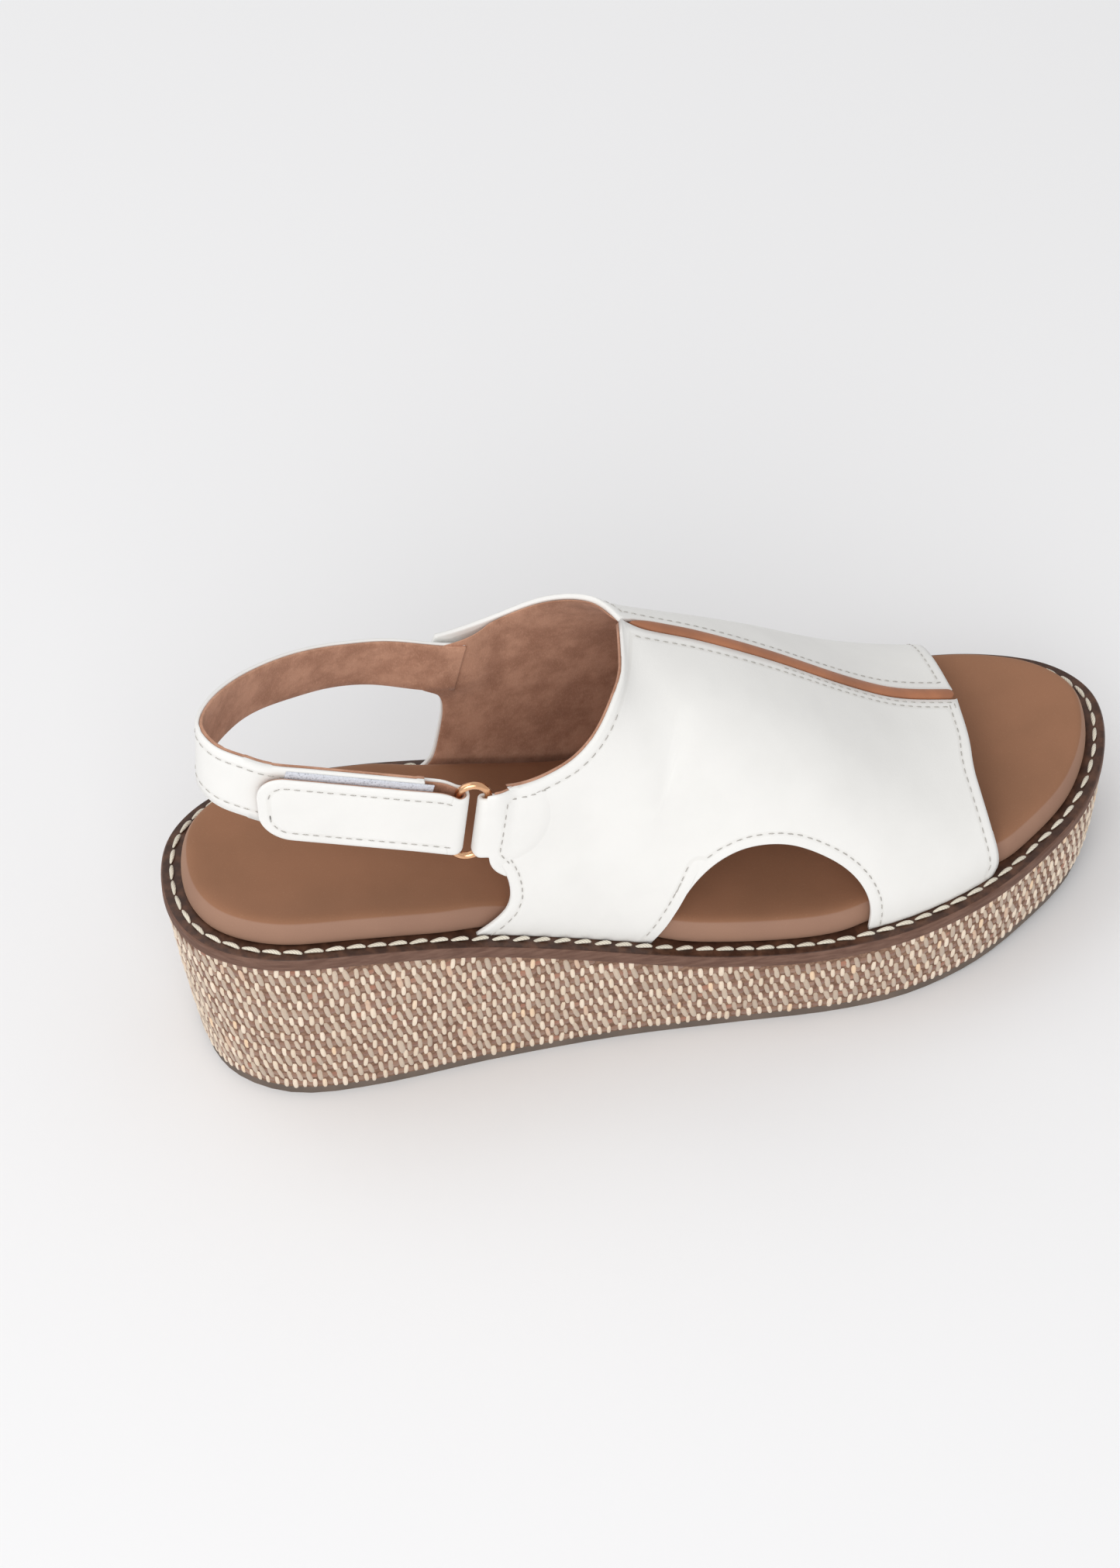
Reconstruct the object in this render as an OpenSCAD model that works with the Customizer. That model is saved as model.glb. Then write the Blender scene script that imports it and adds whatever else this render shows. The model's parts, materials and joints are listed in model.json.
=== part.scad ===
// Wedge sandal for the right foot: open toe, open sides and a heel strap
// that closes with hook and loop tape through an oval ring.
// Origin: centre of the sandal's plan box, on the ground. +X points to the toe,
// +Y to the inner side of the foot, +Z up. Millimetres.

/* [Sole] */
// Thickness of the rubber outsole
outsole_t = 3; // [2:0.1:4]
// Depth of the tread grooves
groove_d = 1; // [0.5:0.1:1.5]
// Thickness of the welt
welt_t = 4; // [3:0.25:5]
// Width of the welt strip, inwards from its outer edge
welt_w = 12; // [10:0.5:14]
// Thickness of the woven cover round the wedge
wrap_t = 1.6; // [1:0.1:2.2]
// How far the woven cover stands in from the welt's edge
wrap_inset = 0.8; // [0.4:0.1:1.5]
// Distance of the welt stitching from the welt's edge
stitch_inset = 3; // [2.4:0.1:3.2]
// Pitch of the welt stitching
stitch_pitch = 5.4; // [4:0.1:7]
// Thickness of the thread of the welt stitching
thread_d = 1; // [0.8:0.1:1.2]
// Thickness of the insole board
board_t = 2; // [1.5:0.1:2.2]
// Thickness of the steel shank under the board
shank_t = 1.3; // [1:0.1:1.5]
// Width of the shank
shank_w = 14; // [10:1:18]

/* [Footbed] */
// Height of the footbed's rim above the welt
footbed_h = 7.5; // [6:0.25:9]
// Thickness of the footbed's cover
cover_t = 1; // [0.8:0.1:1.4]
// Depth of the heel cup below the rim
heel_cup = 3; // [1:0.25:4]
// Depth of the forefoot below the rim
forefoot_cup = 1; // [0:0.25:2]

/* [Upper] */
// Thickness of the upper's leather
leather_t = 1.2; // [0.9:0.1:1.4]
// Thickness of the upper's lining
lining_t = 0.9; // [0.6:0.1:1.1]
// Distance of the upper from the welt's edge
upper_inset = 4.5; // [4.2:0.1:5]
// How square the upper's cross-section is, 2 being an ellipse
upper_round = 2.4; // [2.1:0.1:2.6]
// Width of the piping along the middle seam
piping_w = 3.4; // [2.6:0.1:4]
// Height of the piping above the leather
piping_h = 1.1; // [0.6:0.1:1.6]

/* [Heel strap] */
// Thickness of the strap's leather
strap_t = 1; // [0.8:0.1:1.2]
// Thickness of the strap's lining
strap_lining_t = 0.8; // [0.6:0.1:0.9]
// Height of the strap's swing axis above the ground
swing_z = 87.6; // [87:0.1:88]
// Clearance round the tab that swings in the upper
swing_gap = 0.8; // [0.6:0.1:1]

/* [Ring] */
// Diameter of the ring's wire
wire_d = 2; // [1.8:0.1:2.2]
// Distance between the centres of the ring's two long bars
ring_w = 7.8; // [7.4:0.1:8.4]
// Length of the ring's long bars
ring_bar = 17.7; // [17:0.1:19]
// Lean of the ring from upright, in degrees
ring_tilt = 6.5; // [4:0.5:9]
// Turn of the upper's tab about the ring's front bar, in degrees
tab_turn = 14; // [8:1:16]

/* [Closure] */
// Length of the closure flap behind the ring
flap_l = 51; // [45:1:53]
// Width of the closure flap
flap_w = 22; // [20:0.5:23]
// Angle of the flap to the ring, in degrees
flap_skew = 8.1; // [6:0.1:9]
// Thickness of the flap's leather
flap_t = 0.9; // [0.7:0.05:1]
// Thickness of the flap's lining
flap_lining_t = 0.6; // [0.4:0.05:0.7]
// Thickness of each hook or loop tape
tape_t = 0.5; // [0.4:0.02:0.52]

/* [Hidden] */
$fn = 48;

// Points round a ring of the sole, and segments of the outline on each side
ring_n = 96;
lateral_segs = 13;
medial_segs = 12;

// Welt outline, seen from above: heel, outer side, toe, inner side
outline = [[1.5, 0], [6.5, -18.5], [23, -31], [48, -35], [80, -36], [112, -38.5],
    [142, -43], [170, -47.5], [192, -48], [213, -43.5], [232, -34.5], [249, -23],
    [261, -6.5], [265, 12], [257.5, 29], [242, 41], [222, 47.5], [198, 50],
    [172, 47], [145, 41], [115, 37], [85, 35.5], [55, 34], [27, 32.5], [8, 21]];
// Height of the welt's top face along the foot: [x, z]
welt_top = [[0, 55.5], [20, 56.6], [40, 56], [60, 53], [80, 47.8], [100, 41.3],
    [120, 34.8], [140, 30.2], [160, 28.3], [180, 28.8], [200, 30], [220, 30.8],
    [235, 31.9], [250, 34], [265, 37.8]];
// Height of the sole's underside along the foot: flat, then the toe spring
underside = [[0, 0], [185, 0], [205, 0.5], [220, 1.4], [245, 3.9], [266, 6.5]];
// Ridge of the upper: height and sideways place
ridge_z = [[60, 215], [80, 170], [100, 137], [127, 113], [148, 100.5], [169.5, 86],
    [191.5, 69], [205, 60], [222.5, 53], [235, 49]];
ridge_y = [[60, 6], [170, 6], [192, 7], [222, 9], [240, 10]];

// Cut-out above the welt, from its rear foot to its front foot: [x, z]
arch = [[122, 34.4], [125, 38.2], [127.9, 43.8], [130.8, 50], [134.3, 55.4], [139.2, 60],
    [144.8, 62.6], [150, 63.3], [155.7, 62.7], [161.3, 60.8], [167.3, 57], [172.5, 52.6],
    [176.4, 47.6], [179, 42], [180.3, 35.8], [179.6, 28.9]];
// Top line of each half, from the heel strap to the throat
top_lateral = [[85.9, 98], [88.4, 97.6], [91, 97.4], [95, 97.6], [100.5, 98.7],
    [105, 100.2], [109.7, 103], [113.7, 106.2], [117.5, 109.6], [121.5, 111.9], [127, 113]];
top_medial = [[84, 98.6], [88, 99], [92, 100], [97, 101.8], [102, 104], [106.8, 106.9],
    [111.5, 109.4], [116, 111], [120, 112.1], [123.7, 112.8], [127, 113]];
// Rear edge of each half from the welt up; the outer one ends in a round notch
rear_lateral = [[76, 49], [78.7, 50.7], [81.6, 52.9], [84.1, 55.8], [85.3, 59.5],
    [85.3, 63.5], [84.7, 67.5], [83.6, 71], [82.4, 74.2]];
rear_medial = [[77, 48.7], [79.5, 50.3], [81.7, 52.3], [82.8, 55.5], [83.6, 59.5],
    [84.4, 64], [85.1, 68.5], [85.3, 72], [84.9, 75.3], [83.5, 78.3], [81.3, 80.6],
    [78.9, 82.2], [77, 83.2], [78.2, 86], [79.5, 88.7], [80.8, 91.4], [82.1, 94],
    [83.2, 96.4], [84, 98.6]];
// Inner lining's rear edge, cut back to leave room for the strap's end
rear_medial_lining = [[77, 48.7], [79.5, 50.3], [81.7, 52.3], [82.8, 55.5], [83.6, 59.5],
    [84.4, 64], [85.1, 68.5], [86.5, 71.5], [90, 73.4], [93.5, 76], [96, 79.2],
    [97.6, 82.6], [98.2, 86], [98.3, 89], [98, 92], [97.6, 94.6], [97.2, 96.9],
    [97, 99.4], [97, 101.8]];
// Toe edge of each half from the welt up
toe_lateral = [[216.5, 30.5], [218.4, 33.5], [218.7, 36.5], [218.4, 39.6], [217.9, 43],
    [217.6, 46.6], [217.6, 49.6], [218.4, 52.2], [222.5, 53]];
toe_medial = [[220, 30.8], [222, 34], [222.9, 37.5], [223.2, 41], [223.2, 44.5],
    [223, 47.5], [222.8, 50], [222.6, 51.8], [222.5, 53]];

// Top and bottom edges of the heel strap's outer face, from its inner end,
// round the heel, to the start of its straight outer run
strap_top = [[91, 25.9, 96.6], [84, 26.6, 98.3], [71.4, 28.2, 102.2], [60.7, 27.4, 105.3],
    [49.9, 25.3, 108.5], [38.7, 21.1, 111.8], [26.8, 14.2, 115.2], [17.5, 5.5, 118],
    [12.6, -3.5, 119.3], [14.9, -11.5, 118.4], [21.6, -16.6, 116.8]];
strap_bottom = [[88, 27.6, 80.4], [80, 27.8, 82.4], [66.8, 30.7, 86], [55.5, 29.8, 89.3],
    [44.3, 26, 92.6], [32.7, 20.8, 96], [24.3, 14.7, 98], [15.9, 5.7, 99.2],
    [11.7, -3.5, 99.2], [14.4, -11.5, 98], [21.6, -16.6, 96]];

// Ring centre, plan angle of the ring's plane, and the swing axis of the strap
ring_at = [76, -27.6, 88.2];
ring_plan = 11;
swing_x = 83;
tab_r = 9.5;

// Layers beside the ring's plane, counted from it
wire_r = wire_d / 2;
fold_r = wire_r + 0.5;
flap_total = flap_t + flap_lining_t;
strap_face = 0.4;
strap_end_x = -11;
layer_gap = 0.02;
// Narrowing of the footbed between the upper's legs
squeeze = 2.1;
// Gaps between faceted faces that follow each other
core_gap = 0.15;
lining_gap = 0.25;
strap_gap = 0.1;
bar_x = ring_w / 2;
fold_low = -9.8;
fold_high = 10.3;
tab_low = -9.2;
tab_high = 9.6;

// ---- curves ----
function spline_of(a, b, c, d, t) =
    0.5 * (2 * b + (c - a) * t + (2 * a - 5 * b + 4 * c - d) * t * t
        + (3 * b - a - 3 * c + d) * t * t * t);
function loop_at(p, u) = let(n = len(p), i = floor(u) % n)
    spline_of(p[(i + n - 1) % n], p[i], p[(i + 1) % n], p[(i + 2) % n], u - floor(u));
function path_at(p, u) = let(n = len(p), i = min(floor(u), n - 2))
    spline_of(p[max(i - 1, 0)], p[i], p[i + 1], p[min(i + 2, n - 1)], u - i);
// Point at share f of a path
function along(p, f) = path_at(p, f * (len(p) - 1));
function slope(t, i) = let(a = max(i - 1, 0), b = min(i + 1, len(t) - 1))
    (t[b][1] - t[a][1]) / (t[b][0] - t[a][0]);
// Smooth height of a table of [x, height] at x
function height(t, x) = let(n = len(t), c = min(max(x, t[0][0]), t[n - 1][0]),
    i = max([for (k = [0:n - 2]) if (t[k][0] <= c) k]),
    w = t[i + 1][0] - t[i][0], s = (c - t[i][0]) / w)
    t[i][1] * (1 + 2 * s) * (1 - s) * (1 - s) + t[i + 1][1] * s * s * (3 - 2 * s)
    + w * (slope(t, i) * s * (1 - s) * (1 - s) - slope(t, i + 1) * s * s * (1 - s));
function smooth(s) = let(c = min(max(s, 0), 1)) c * c * (3 - 2 * c);
function unit(v) = v / norm(v);

// ---- solids from rings of points ----
// Rings run anticlockwise seen from the last ring. An open loft is closed at
// both ends by a ladder between the two sides of its end rings.
module loft(rings, closed = false) {
    n = len(rings[0]);
    m = len(rings);
    points = [for (r = rings) each r];
    sides = [for (j = [0:closed ? m - 1 : m - 2]) for (k = [0:n - 1])
        let(a = j * n + k, b = j * n + (k + 1) % n, up = ((j + 1) % m - j) * n)
        each [[a, a + up, b + up], [a, b + up, b]]];
    ladder = [for (k = [0:n / 2 - 2]) [k, k + 1, n - 2 - k, n - 1 - k]];
    last = (m - 1) * n;
    ends = closed ? [] : concat(
        [for (q = ladder) each [[q[0], q[1], q[2]], [q[0], q[2], q[3]]]],
        [for (q = ladder) each [[last + q[2], last + q[1], last + q[0]],
            [last + q[3], last + q[2], last + q[0]]]]);
    polyhedron(points = points, faces = concat(sides, ends), convexity = 8);
}
// A sheet with thickness: outer and inner are grids of the same size
module shell(outer, inner) {
    n = len(outer[0]);
    loft([for (i = [0:len(outer) - 1])
        concat(outer[i], [for (j = [n - 1:-1:0]) inner[i][j]])]);
}

// ---- the sole's outline ----
function ring_u(k) = let(h = ring_n / 2)
    k < h ? (k + 0.5) * lateral_segs / h : lateral_segs + (k + 0.5 - h) * medial_segs / h;
// Point of the outline at parameter u, moved inwards by d
function inset_at(u, d) = let(n = len(outline), e = 0.05, p = loop_at(outline, u),
    t = unit(loop_at(outline, u + e) - loop_at(outline, u + n - e))) p + d * [-t[1], t[0]];
function welt_z(x) = height(welt_top, x);
function sole_z(x) = max(0, height(underside, x));
// Undercut of the wedge at the ground: most at the back of the heel
function undercut(x) = 3.2 + 4.8 * pow(max(0, 1 - x / 45), 2) - 0.7 * smooth((x - 200) / 60);

xs = [for (k = [0:0.1:25]) loop_at(outline, k)];
plan_mid = [(min([for (p = xs) p[0]]) + max([for (p = xs) p[0]])) / 2,
    (min([for (p = xs) p[1]]) + max([for (p = xs) p[1]])) / 2];
module placed() {
    translate([-plan_mid[0], -plan_mid[1], 0]) children();
}

// ---- sole ----
module sole_plan(extra) {
    polygon([for (k = [0:ring_n - 1]) let(x = loop_at(outline, ring_u(k))[0])
        inset_at(ring_u(k), undercut(x) + extra)]);
}
module outsole() {
    stations = [0, 185, 190, 195, 200, 205, 210, 215, 220, 226, 232, 238, 244, 250, 256, 262, 270];
    color("#6e6057") placed() difference() {
        intersection() {
            translate([0, 0, -1]) linear_extrude(20) sole_plan(0.5);
            translate([0, 60, 0]) rotate([90, 0, 0]) linear_extrude(120)
                polygon(concat([for (x = stations) [x, sole_z(x)]],
                    [for (i = [len(stations) - 1:-1:0]) [stations[i], sole_z(stations[i]) + outsole_t]]));
        }
        for (x = [20:9:182]) translate([x, -21, -1]) cube([1.6, 42, 1 + groove_d]);
    }
}
// Side of the wedge: share f from the outsole to the welt, depth d inside it
function wedge_ring(f, d) = [for (k = [0:ring_n - 1])
    let(x = loop_at(outline, ring_u(k))[0], low = undercut(x),
        p = inset_at(ring_u(k), low + (wrap_inset - low) * f - 1.6 * f * (1 - f) + d),
        z0 = sole_z(p[0]) + outsole_t + layer_gap, z1 = welt_z(p[0]) - welt_t - layer_gap)
    [p[0], p[1], z0 + (z1 - z0) * f]];
module wedge_core() {
    color("#cbb79a") placed() loft([for (f = [0, 0.5, 1]) wedge_ring(f, wrap_t + core_gap)]);
}
module wedge_wrap() {
    shares = [0, 0.25, 0.5, 0.75, 1];
    color("#d7c3aa") placed() loft(concat([for (f = shares) wedge_ring(f, 0)],
        [for (f = [1, 0.5, 0]) wedge_ring(f, wrap_t)]), closed = true);
}
// A ring of the sole, inset by d, at height h from the welt's top face
function top_ring(d, h) = [for (k = [0:ring_n - 1]) let(p = inset_at(ring_u(k), d))
    [p[0], p[1], welt_z(p[0]) + h]];
module welt() {
    color("#3b241a") placed() loft([top_ring(0.3, -welt_t), top_ring(0, 0.8 - welt_t),
        top_ring(0, -0.8), top_ring(0.5, 0), top_ring(welt_w, 0), top_ring(welt_w, -welt_t)],
        closed = true);
}
module insole_board() {
    color("#a58a6a") placed() loft([top_ring(welt_w + 0.1, -0.1 - board_t), top_ring(welt_w + 0.1, -0.1)]);
}
module shank() {
    low = -welt_t + 0.1;
    color("#8d9196") placed() loft([for (x = [28:6:142])
        let(z = welt_z(x) + low) [[x, -shank_w / 2, z], [x, shank_w / 2, z],
            [x, shank_w / 2, z + shank_t], [x, -shank_w / 2, z + shank_t]]]);
}
// Length along the outline, to space the stitches evenly
steps_per_seg = 6;
walk = [for (i = [0:steps_per_seg * (lateral_segs + medial_segs)])
    inset_at(i / steps_per_seg, stitch_inset)];
function walked(i) = i == 0 ? 0 : norm(walk[i] - walk[i - 1]);
lengths = [for (i = 0, s = 0; i < len(walk); i = i + 1, s = s + (i < len(walk) ? walked(i) : 0)) s];
function u_at(s) = let(i = max([for (k = [0:len(lengths) - 2]) if (lengths[k] <= s) k]))
    (i + (s - lengths[i]) / (lengths[i + 1] - lengths[i])) / steps_per_seg;
stitches = floor(lengths[len(lengths) - 1] / stitch_pitch);
module welt_stitching() {
    total = lengths[len(lengths) - 1];
    color("#e6dcc6") placed() for (i = [0:stitches - 1]) {
        s = (i + 0.5) * total / stitches;
        p = inset_at(u_at(s), stitch_inset);
        q = inset_at(u_at(s + 0.5), stitch_inset);
        turn = atan2(q[1] - p[1], q[0] - p[0]);
        rise = atan((welt_z(q[0]) - welt_z(p[0])) / norm(q - p));
        translate([p[0], p[1], welt_z(p[0]) + thread_d / 2 + strap_gap]) rotate([0, 90 - rise, turn])
            cylinder(h = stitch_pitch * 0.74, d = thread_d, center = true, $fn = 16);
    }
}

// ---- footbed ----
// 1 where the upper's legs squeeze the footbed's edge, 0 elsewhere
function leg(x) = smooth((x - 68) / 8) * (1 - smooth((x - 120) / 8))
    + smooth((x - 172) / 8) * (1 - smooth((x - 218) / 8));
function footbed_side(d, h) = [for (k = [0:ring_n - 1])
    let(x = loop_at(outline, ring_u(k))[0], p = inset_at(ring_u(k), 5.2 + squeeze * leg(x) + d))
    [p[0], p[1], welt_z(p[0]) + h]];
// A ring of the top face: share f of the way in to the foot's middle line
function footbed_top(f, d, h) = [for (k = [0:ring_n - 1])
    let(x = loop_at(outline, ring_u(k))[0],
        p = inset_at(ring_u(k), 8.4 + squeeze * leg(x) + d),
        c = [min(max(p[0], 34), 222), 1 + 6 * smooth((p[0] - 60) / 150)],
        q = p + (c - p) * f, cup = forefoot_cup + (heel_cup - forefoot_cup) * (1 - smooth((q[0] - 30) / 70)))
    [q[0], q[1], welt_z(q[0]) + h - cup * (1 - pow(1 - f, 2.5))]];
module footbed_core() {
    in = cover_t + layer_gap;
    top = footbed_h - in;
    color("#c9b08c") placed() loft([footbed_side(in, 0.1), footbed_side(0.5 + in, 3.4),
        footbed_side(1.6 + in, top - 1.3), footbed_top(0, 0.6, top),
        footbed_top(0.2, 0.6, top), footbed_top(0.5, 0.6, top)]);
}
module footbed_cover() {
    in = cover_t;
    top = footbed_h;
    color("#8c6248") placed() loft([footbed_top(0.5, 0.6, top - in), footbed_top(0.2, 0.6, top - in),
        footbed_top(0, 0.6, top - in), footbed_side(1.6 + in, top - in - 1.3),
        footbed_side(0.5 + in, 3.4), footbed_side(in, 0.1), footbed_side(0, 0.1),
        footbed_side(0.3, 3.4), footbed_side(1.3, top - 1.3), footbed_top(0, -0.3, top),
        footbed_top(0.2, 0, top), footbed_top(0.5, 0, top)]);
}

// ---- upper ----
// Outer face over the foot: superellipse from the welt to the ridge at angle a
side_lateral = [for (i = [2:12]) outline[i]];
side_medial = [for (i = [24:-1:14]) outline[i]];
function base_y(s, x) = s < 0 ? height(side_lateral, x) + upper_inset
    : height(side_medial, x) - upper_inset;
power = 2 / upper_round;
function face_at(s, x, a) = let(m = height(ridge_y, x), z = welt_z(x))
    [x, m + (base_y(s, x) - m) * pow(max(cos(a), 0), power),
        z + 0.1 + (height(ridge_z, x) - z - 0.1) * pow(max(sin(a), 0), power)];
function face_normal(s, x, a) = let(e = 0.5, c = min(max(a, e), 90 - e),
    dx = face_at(s, x + e, c) - face_at(s, x - e, c),
    da = face_at(s, x, c + e) - face_at(s, x, c - e)) unit(-s * cross(dx, da));
// Angle of a height z at station x
function angle_of(x, z) = let(b = welt_z(x), f = (z - b) / (height(ridge_z, x) - b))
    asin(pow(min(max(f, 0), 1), 1 / power));
function in_plan(p) = [p[0], angle_of(p[0], p[1])];
// Angle at which the leather stops, half a piping's width from the ridge
function ridge_angle(s, x, w) = acos(pow(w / abs(base_y(s, x) - height(ridge_y, x)), 1 / power));

// Rear edge of the outer half, with a notch of radius r round the swing axis
function notched(r) = concat(rear_lateral,
    [for (t = [-90:20:70]) [swing_x, swing_z] + r * [cos(t), sin(t)]], [top_lateral[0]]);
leg_cols = 8;
arch_cols = 22;
top_cols = 13;
cols = 2 * leg_cols + arch_cols;
throat_x = 127;
rows = 18;
function low_edge(i, x0, x1) = i <= leg_cols ? [x0 + (arch[0][0] - x0) * i / leg_cols, 0]
    : i < leg_cols + arch_cols ? in_plan(along(arch, (i - leg_cols) / arch_cols))
    : [arch[len(arch) - 1][0] + (x1 - arch[len(arch) - 1][0]) * (i - leg_cols - arch_cols) / leg_cols, 0];
function high_edge(i, s, top, w) = i <= top_cols
    ? let(p = along(top, i / top_cols), a = in_plan(p)) [p[0], min(a[1], ridge_angle(s, p[0], 0.1))]
    : let(x = throat_x + (222.5 - throat_x) * (i - top_cols) / (cols - top_cols)) [x, ridge_angle(s, x, w)];
// Grid of [x, angle] between the four edges
function half_grid(s, rear, top, toe, w) = let(
    low = [for (i = [0:cols]) low_edge(i, rear[0][0], toe[0][0])],
    high = [for (i = [0:cols]) high_edge(i, s, top, w)],
    back = [for (j = [0:rows]) j == 0 ? low[0] : j == rows ? high[0] : in_plan(rear[j])],
    front = [for (j = [0:rows]) j == 0 ? low[cols] : j == rows ? high[cols] : in_plan(along(toe, j / rows))])
    [for (i = [0:cols]) let(u = i / cols) [for (j = [0:rows]) let(v = j / rows)
        (1 - v) * low[i] + v * high[i] + (1 - u) * back[j] + u * front[j]
        - (1 - u) * ((1 - v) * low[0] + v * high[0]) - u * ((1 - v) * low[cols] + v * high[cols])]];
function on_face(s, grid, depth) = [for (c = grid) [for (q = c)
    face_at(s, q[0], q[1]) - depth * face_normal(s, q[0], q[1])]];
module half(s, grid, depth, t) {
    outer = on_face(s, grid, depth);
    inner = on_face(s, grid, depth + t);
    if (s < 0) shell(outer, inner);
    else shell(inner, outer);
}
leather_edge = piping_w / 2 + 0.1;
lateral_grid = half_grid(-1, notched(tab_r + swing_gap), top_lateral, toe_lateral, leather_edge);
medial_grid = half_grid(1, rear_medial, top_medial, toe_medial, leather_edge);
lining_depth = leather_t + lining_gap;
module upper_lateral() {
    color("#f0efea") placed() half(-1, lateral_grid, 0, leather_t);
}
module upper_medial() {
    color("#f0efea") placed() half(1, medial_grid, 0, leather_t);
}
module lining_lateral() {
    grid = half_grid(-1, notched(tab_r + swing_gap + 0.6), top_lateral, toe_lateral, leather_edge);
    color("#a0735c") placed() half(-1, grid, lining_depth, lining_t);
}
module lining_medial() {
    top = [for (p = top_medial) if (p[0] > 96) p];
    grid = half_grid(1, rear_medial_lining, top, toe_medial, leather_edge);
    color("#a0735c") placed() half(1, grid, lining_depth, lining_t);
}
module vamp_piping() {
    w = piping_w / 2;
    section = [[-w, -1], [-w, 0.4], [-0.6 * w, piping_h * 0.85], [0, piping_h],
        [0.6 * w, piping_h * 0.85], [w, 0.4], [w, -1], [0, -1.2]];
    order = [3, 4, 5, 6, 7, 0, 1, 2];
    stations = concat([throat_x + 4.2], [for (i = [0:21]) 134 + 4 * i], [220, 221.8]);
    color("#a5694a") placed() loft([for (x = stations) let(
        p = [x, height(ridge_y, x), height(ridge_z, x)],
        t = unit([1, 0, (height(ridge_z, x + 1) - height(ridge_z, x - 1)) / 2]), n = [-t[2], 0, t[0]])
        [for (k = order) p + [0, section[k][0], 0] + section[k][1] * n]]);
}

// ---- ring and closure, in the ring's own frame ----
// X runs forward in the ring's plane, -Y outwards, Z along the bars
module at_ring() {
    placed() translate(ring_at) rotate([0, 0, -ring_plan]) rotate([0, ring_tilt, 0]) children();
}
// A flat piece of thickness t standing at distance d outside the ring's plane
module plate(d, t) {
    translate([0, -d, 0]) rotate([90, 0, 0]) linear_extrude(t) children();
}
module strap_ring() {
    color("#d9b07a") at_ring() union() {
        for (s = [-1, 1]) {
            translate([s * bar_x, 0, 0]) cylinder(h = ring_bar, r = wire_r, center = true);
            translate([0, 0, s * ring_bar / 2]) rotate([s * 90, 0, 0])
                rotate_extrude(angle = 180) translate([bar_x, 0]) circle(wire_r);
        }
    }
}
// Half tube round a bar: side -1 opens forwards, side 1 opens backwards
module bight(x, side, r, t, low, high) {
    difference() {
        translate([x, 0, low]) cylinder(h = high - low, r = r + t);
        translate([x, 0, low - 1]) cylinder(h = high - low + 2, r = r);
        translate([x + (side > 0 ? -10 : 0), -10, low - 1]) cube([10, 20, high - low + 2]);
    }
}
// Centre of the tab's round end, on the swing axis of the strap
tab_c = [bar_x + 3.2, 0.2];
module tab_plan(reach, back = 0) {
    intersection() {
        union() {
            translate(tab_c) circle(reach);
            polygon([[bar_x - back, tab_low], [tab_c[0], tab_c[1] - reach],
                [tab_c[0], tab_c[1] + reach], [bar_x - back, tab_high]]);
        }
        translate([bar_x - back, -20]) square([30, 40]);
    }
}
module ring_tab() {
    color("#efeee9") at_ring() translate([bar_x, 0, 0]) rotate([0, 0, tab_turn]) translate([-bar_x, 0, 0]) {
        plate(fold_r, leather_t) tab_plan(tab_r);
        bight(bar_x, -1, fold_r, leather_t, tab_low, tab_high);
        translate([bar_x, 0, 0]) rotate([0, 0, -9]) translate([-bar_x, 0, 0])
            plate(-fold_r - leather_t, leather_t) intersection() {
                tab_plan(tab_r - 1, 1);
                translate([0, -20]) square([bar_x + 9, 40]);
            }
    }
}
// Strap ends and flap lie at an angle to the ring; x runs back from the ring
module skewed() {
    translate([-bar_x, 1.1]) rotate(-flap_skew) children();
}
module flap_plan(l, w, r) {
    intersection() {
        skewed() union() {
            translate([r - l, -w / 2]) square([l - r + 4, w]);
            translate([-l, r - w / 2]) square([r + 1, w - 2 * r]);
            for (s = [-1, 1]) translate([r - l, s * (w / 2 - r)]) circle(r);
        }
        polygon([[-bar_x - 0.05, fold_low], [-bar_x - 0.05, fold_high], [-bar_x - 5, 13.4],
            [-80, 40], [-80, -40], [-bar_x - 5, -40], [-bar_x - 4, -12]]);
    }
}
module closure_flap() {
    color("#f1f0ec") at_ring() plate(fold_r + flap_lining_t + layer_gap, flap_t) flap_plan(flap_l, flap_w, 8);
}
module closure_flap_lining() {
    color("#9d6f58") at_ring() plate(fold_r, flap_lining_t) flap_plan(flap_l - 0.4, flap_w - 0.8, 7.6);
}
module hook_tape() {
    color("#e9e9ee") at_ring() plate(fold_r - tape_t, tape_t - layer_gap) skewed()
        translate([-flap_l + 5, -8]) square([30, 16]);
}
module closure_fold() {
    color("#efeee9") at_ring() bight(-bar_x, 1, fold_r, flap_total, fold_low, fold_high);
}
module anchor_plan() {
    intersection() {
        skewed() translate([-20, -9.5]) square([24, 20.5]);
        polygon([[-bar_x - 0.05, fold_low], [-bar_x - 0.05, fold_high], [-bar_x - 5, 13],
            [-40, 30], [-40, -30], [-bar_x - 5, -30]]);
    }
}
module closure_anchor() {
    color("#f1f0ec") at_ring() plate(-fold_r - flap_total, flap_t) anchor_plan();
}
module closure_anchor_lining() {
    color("#9d6f58") at_ring() plate(-fold_r - flap_lining_t, flap_lining_t - layer_gap) anchor_plan();
}
module loop_tape() {
    color("#e6e7ee") at_ring() plate(strap_face + 4 * layer_gap, tape_t - layer_gap) skewed()
        translate([-flap_l + 5, -7]) square([flap_l - 13, 18.5]);
}

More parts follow.
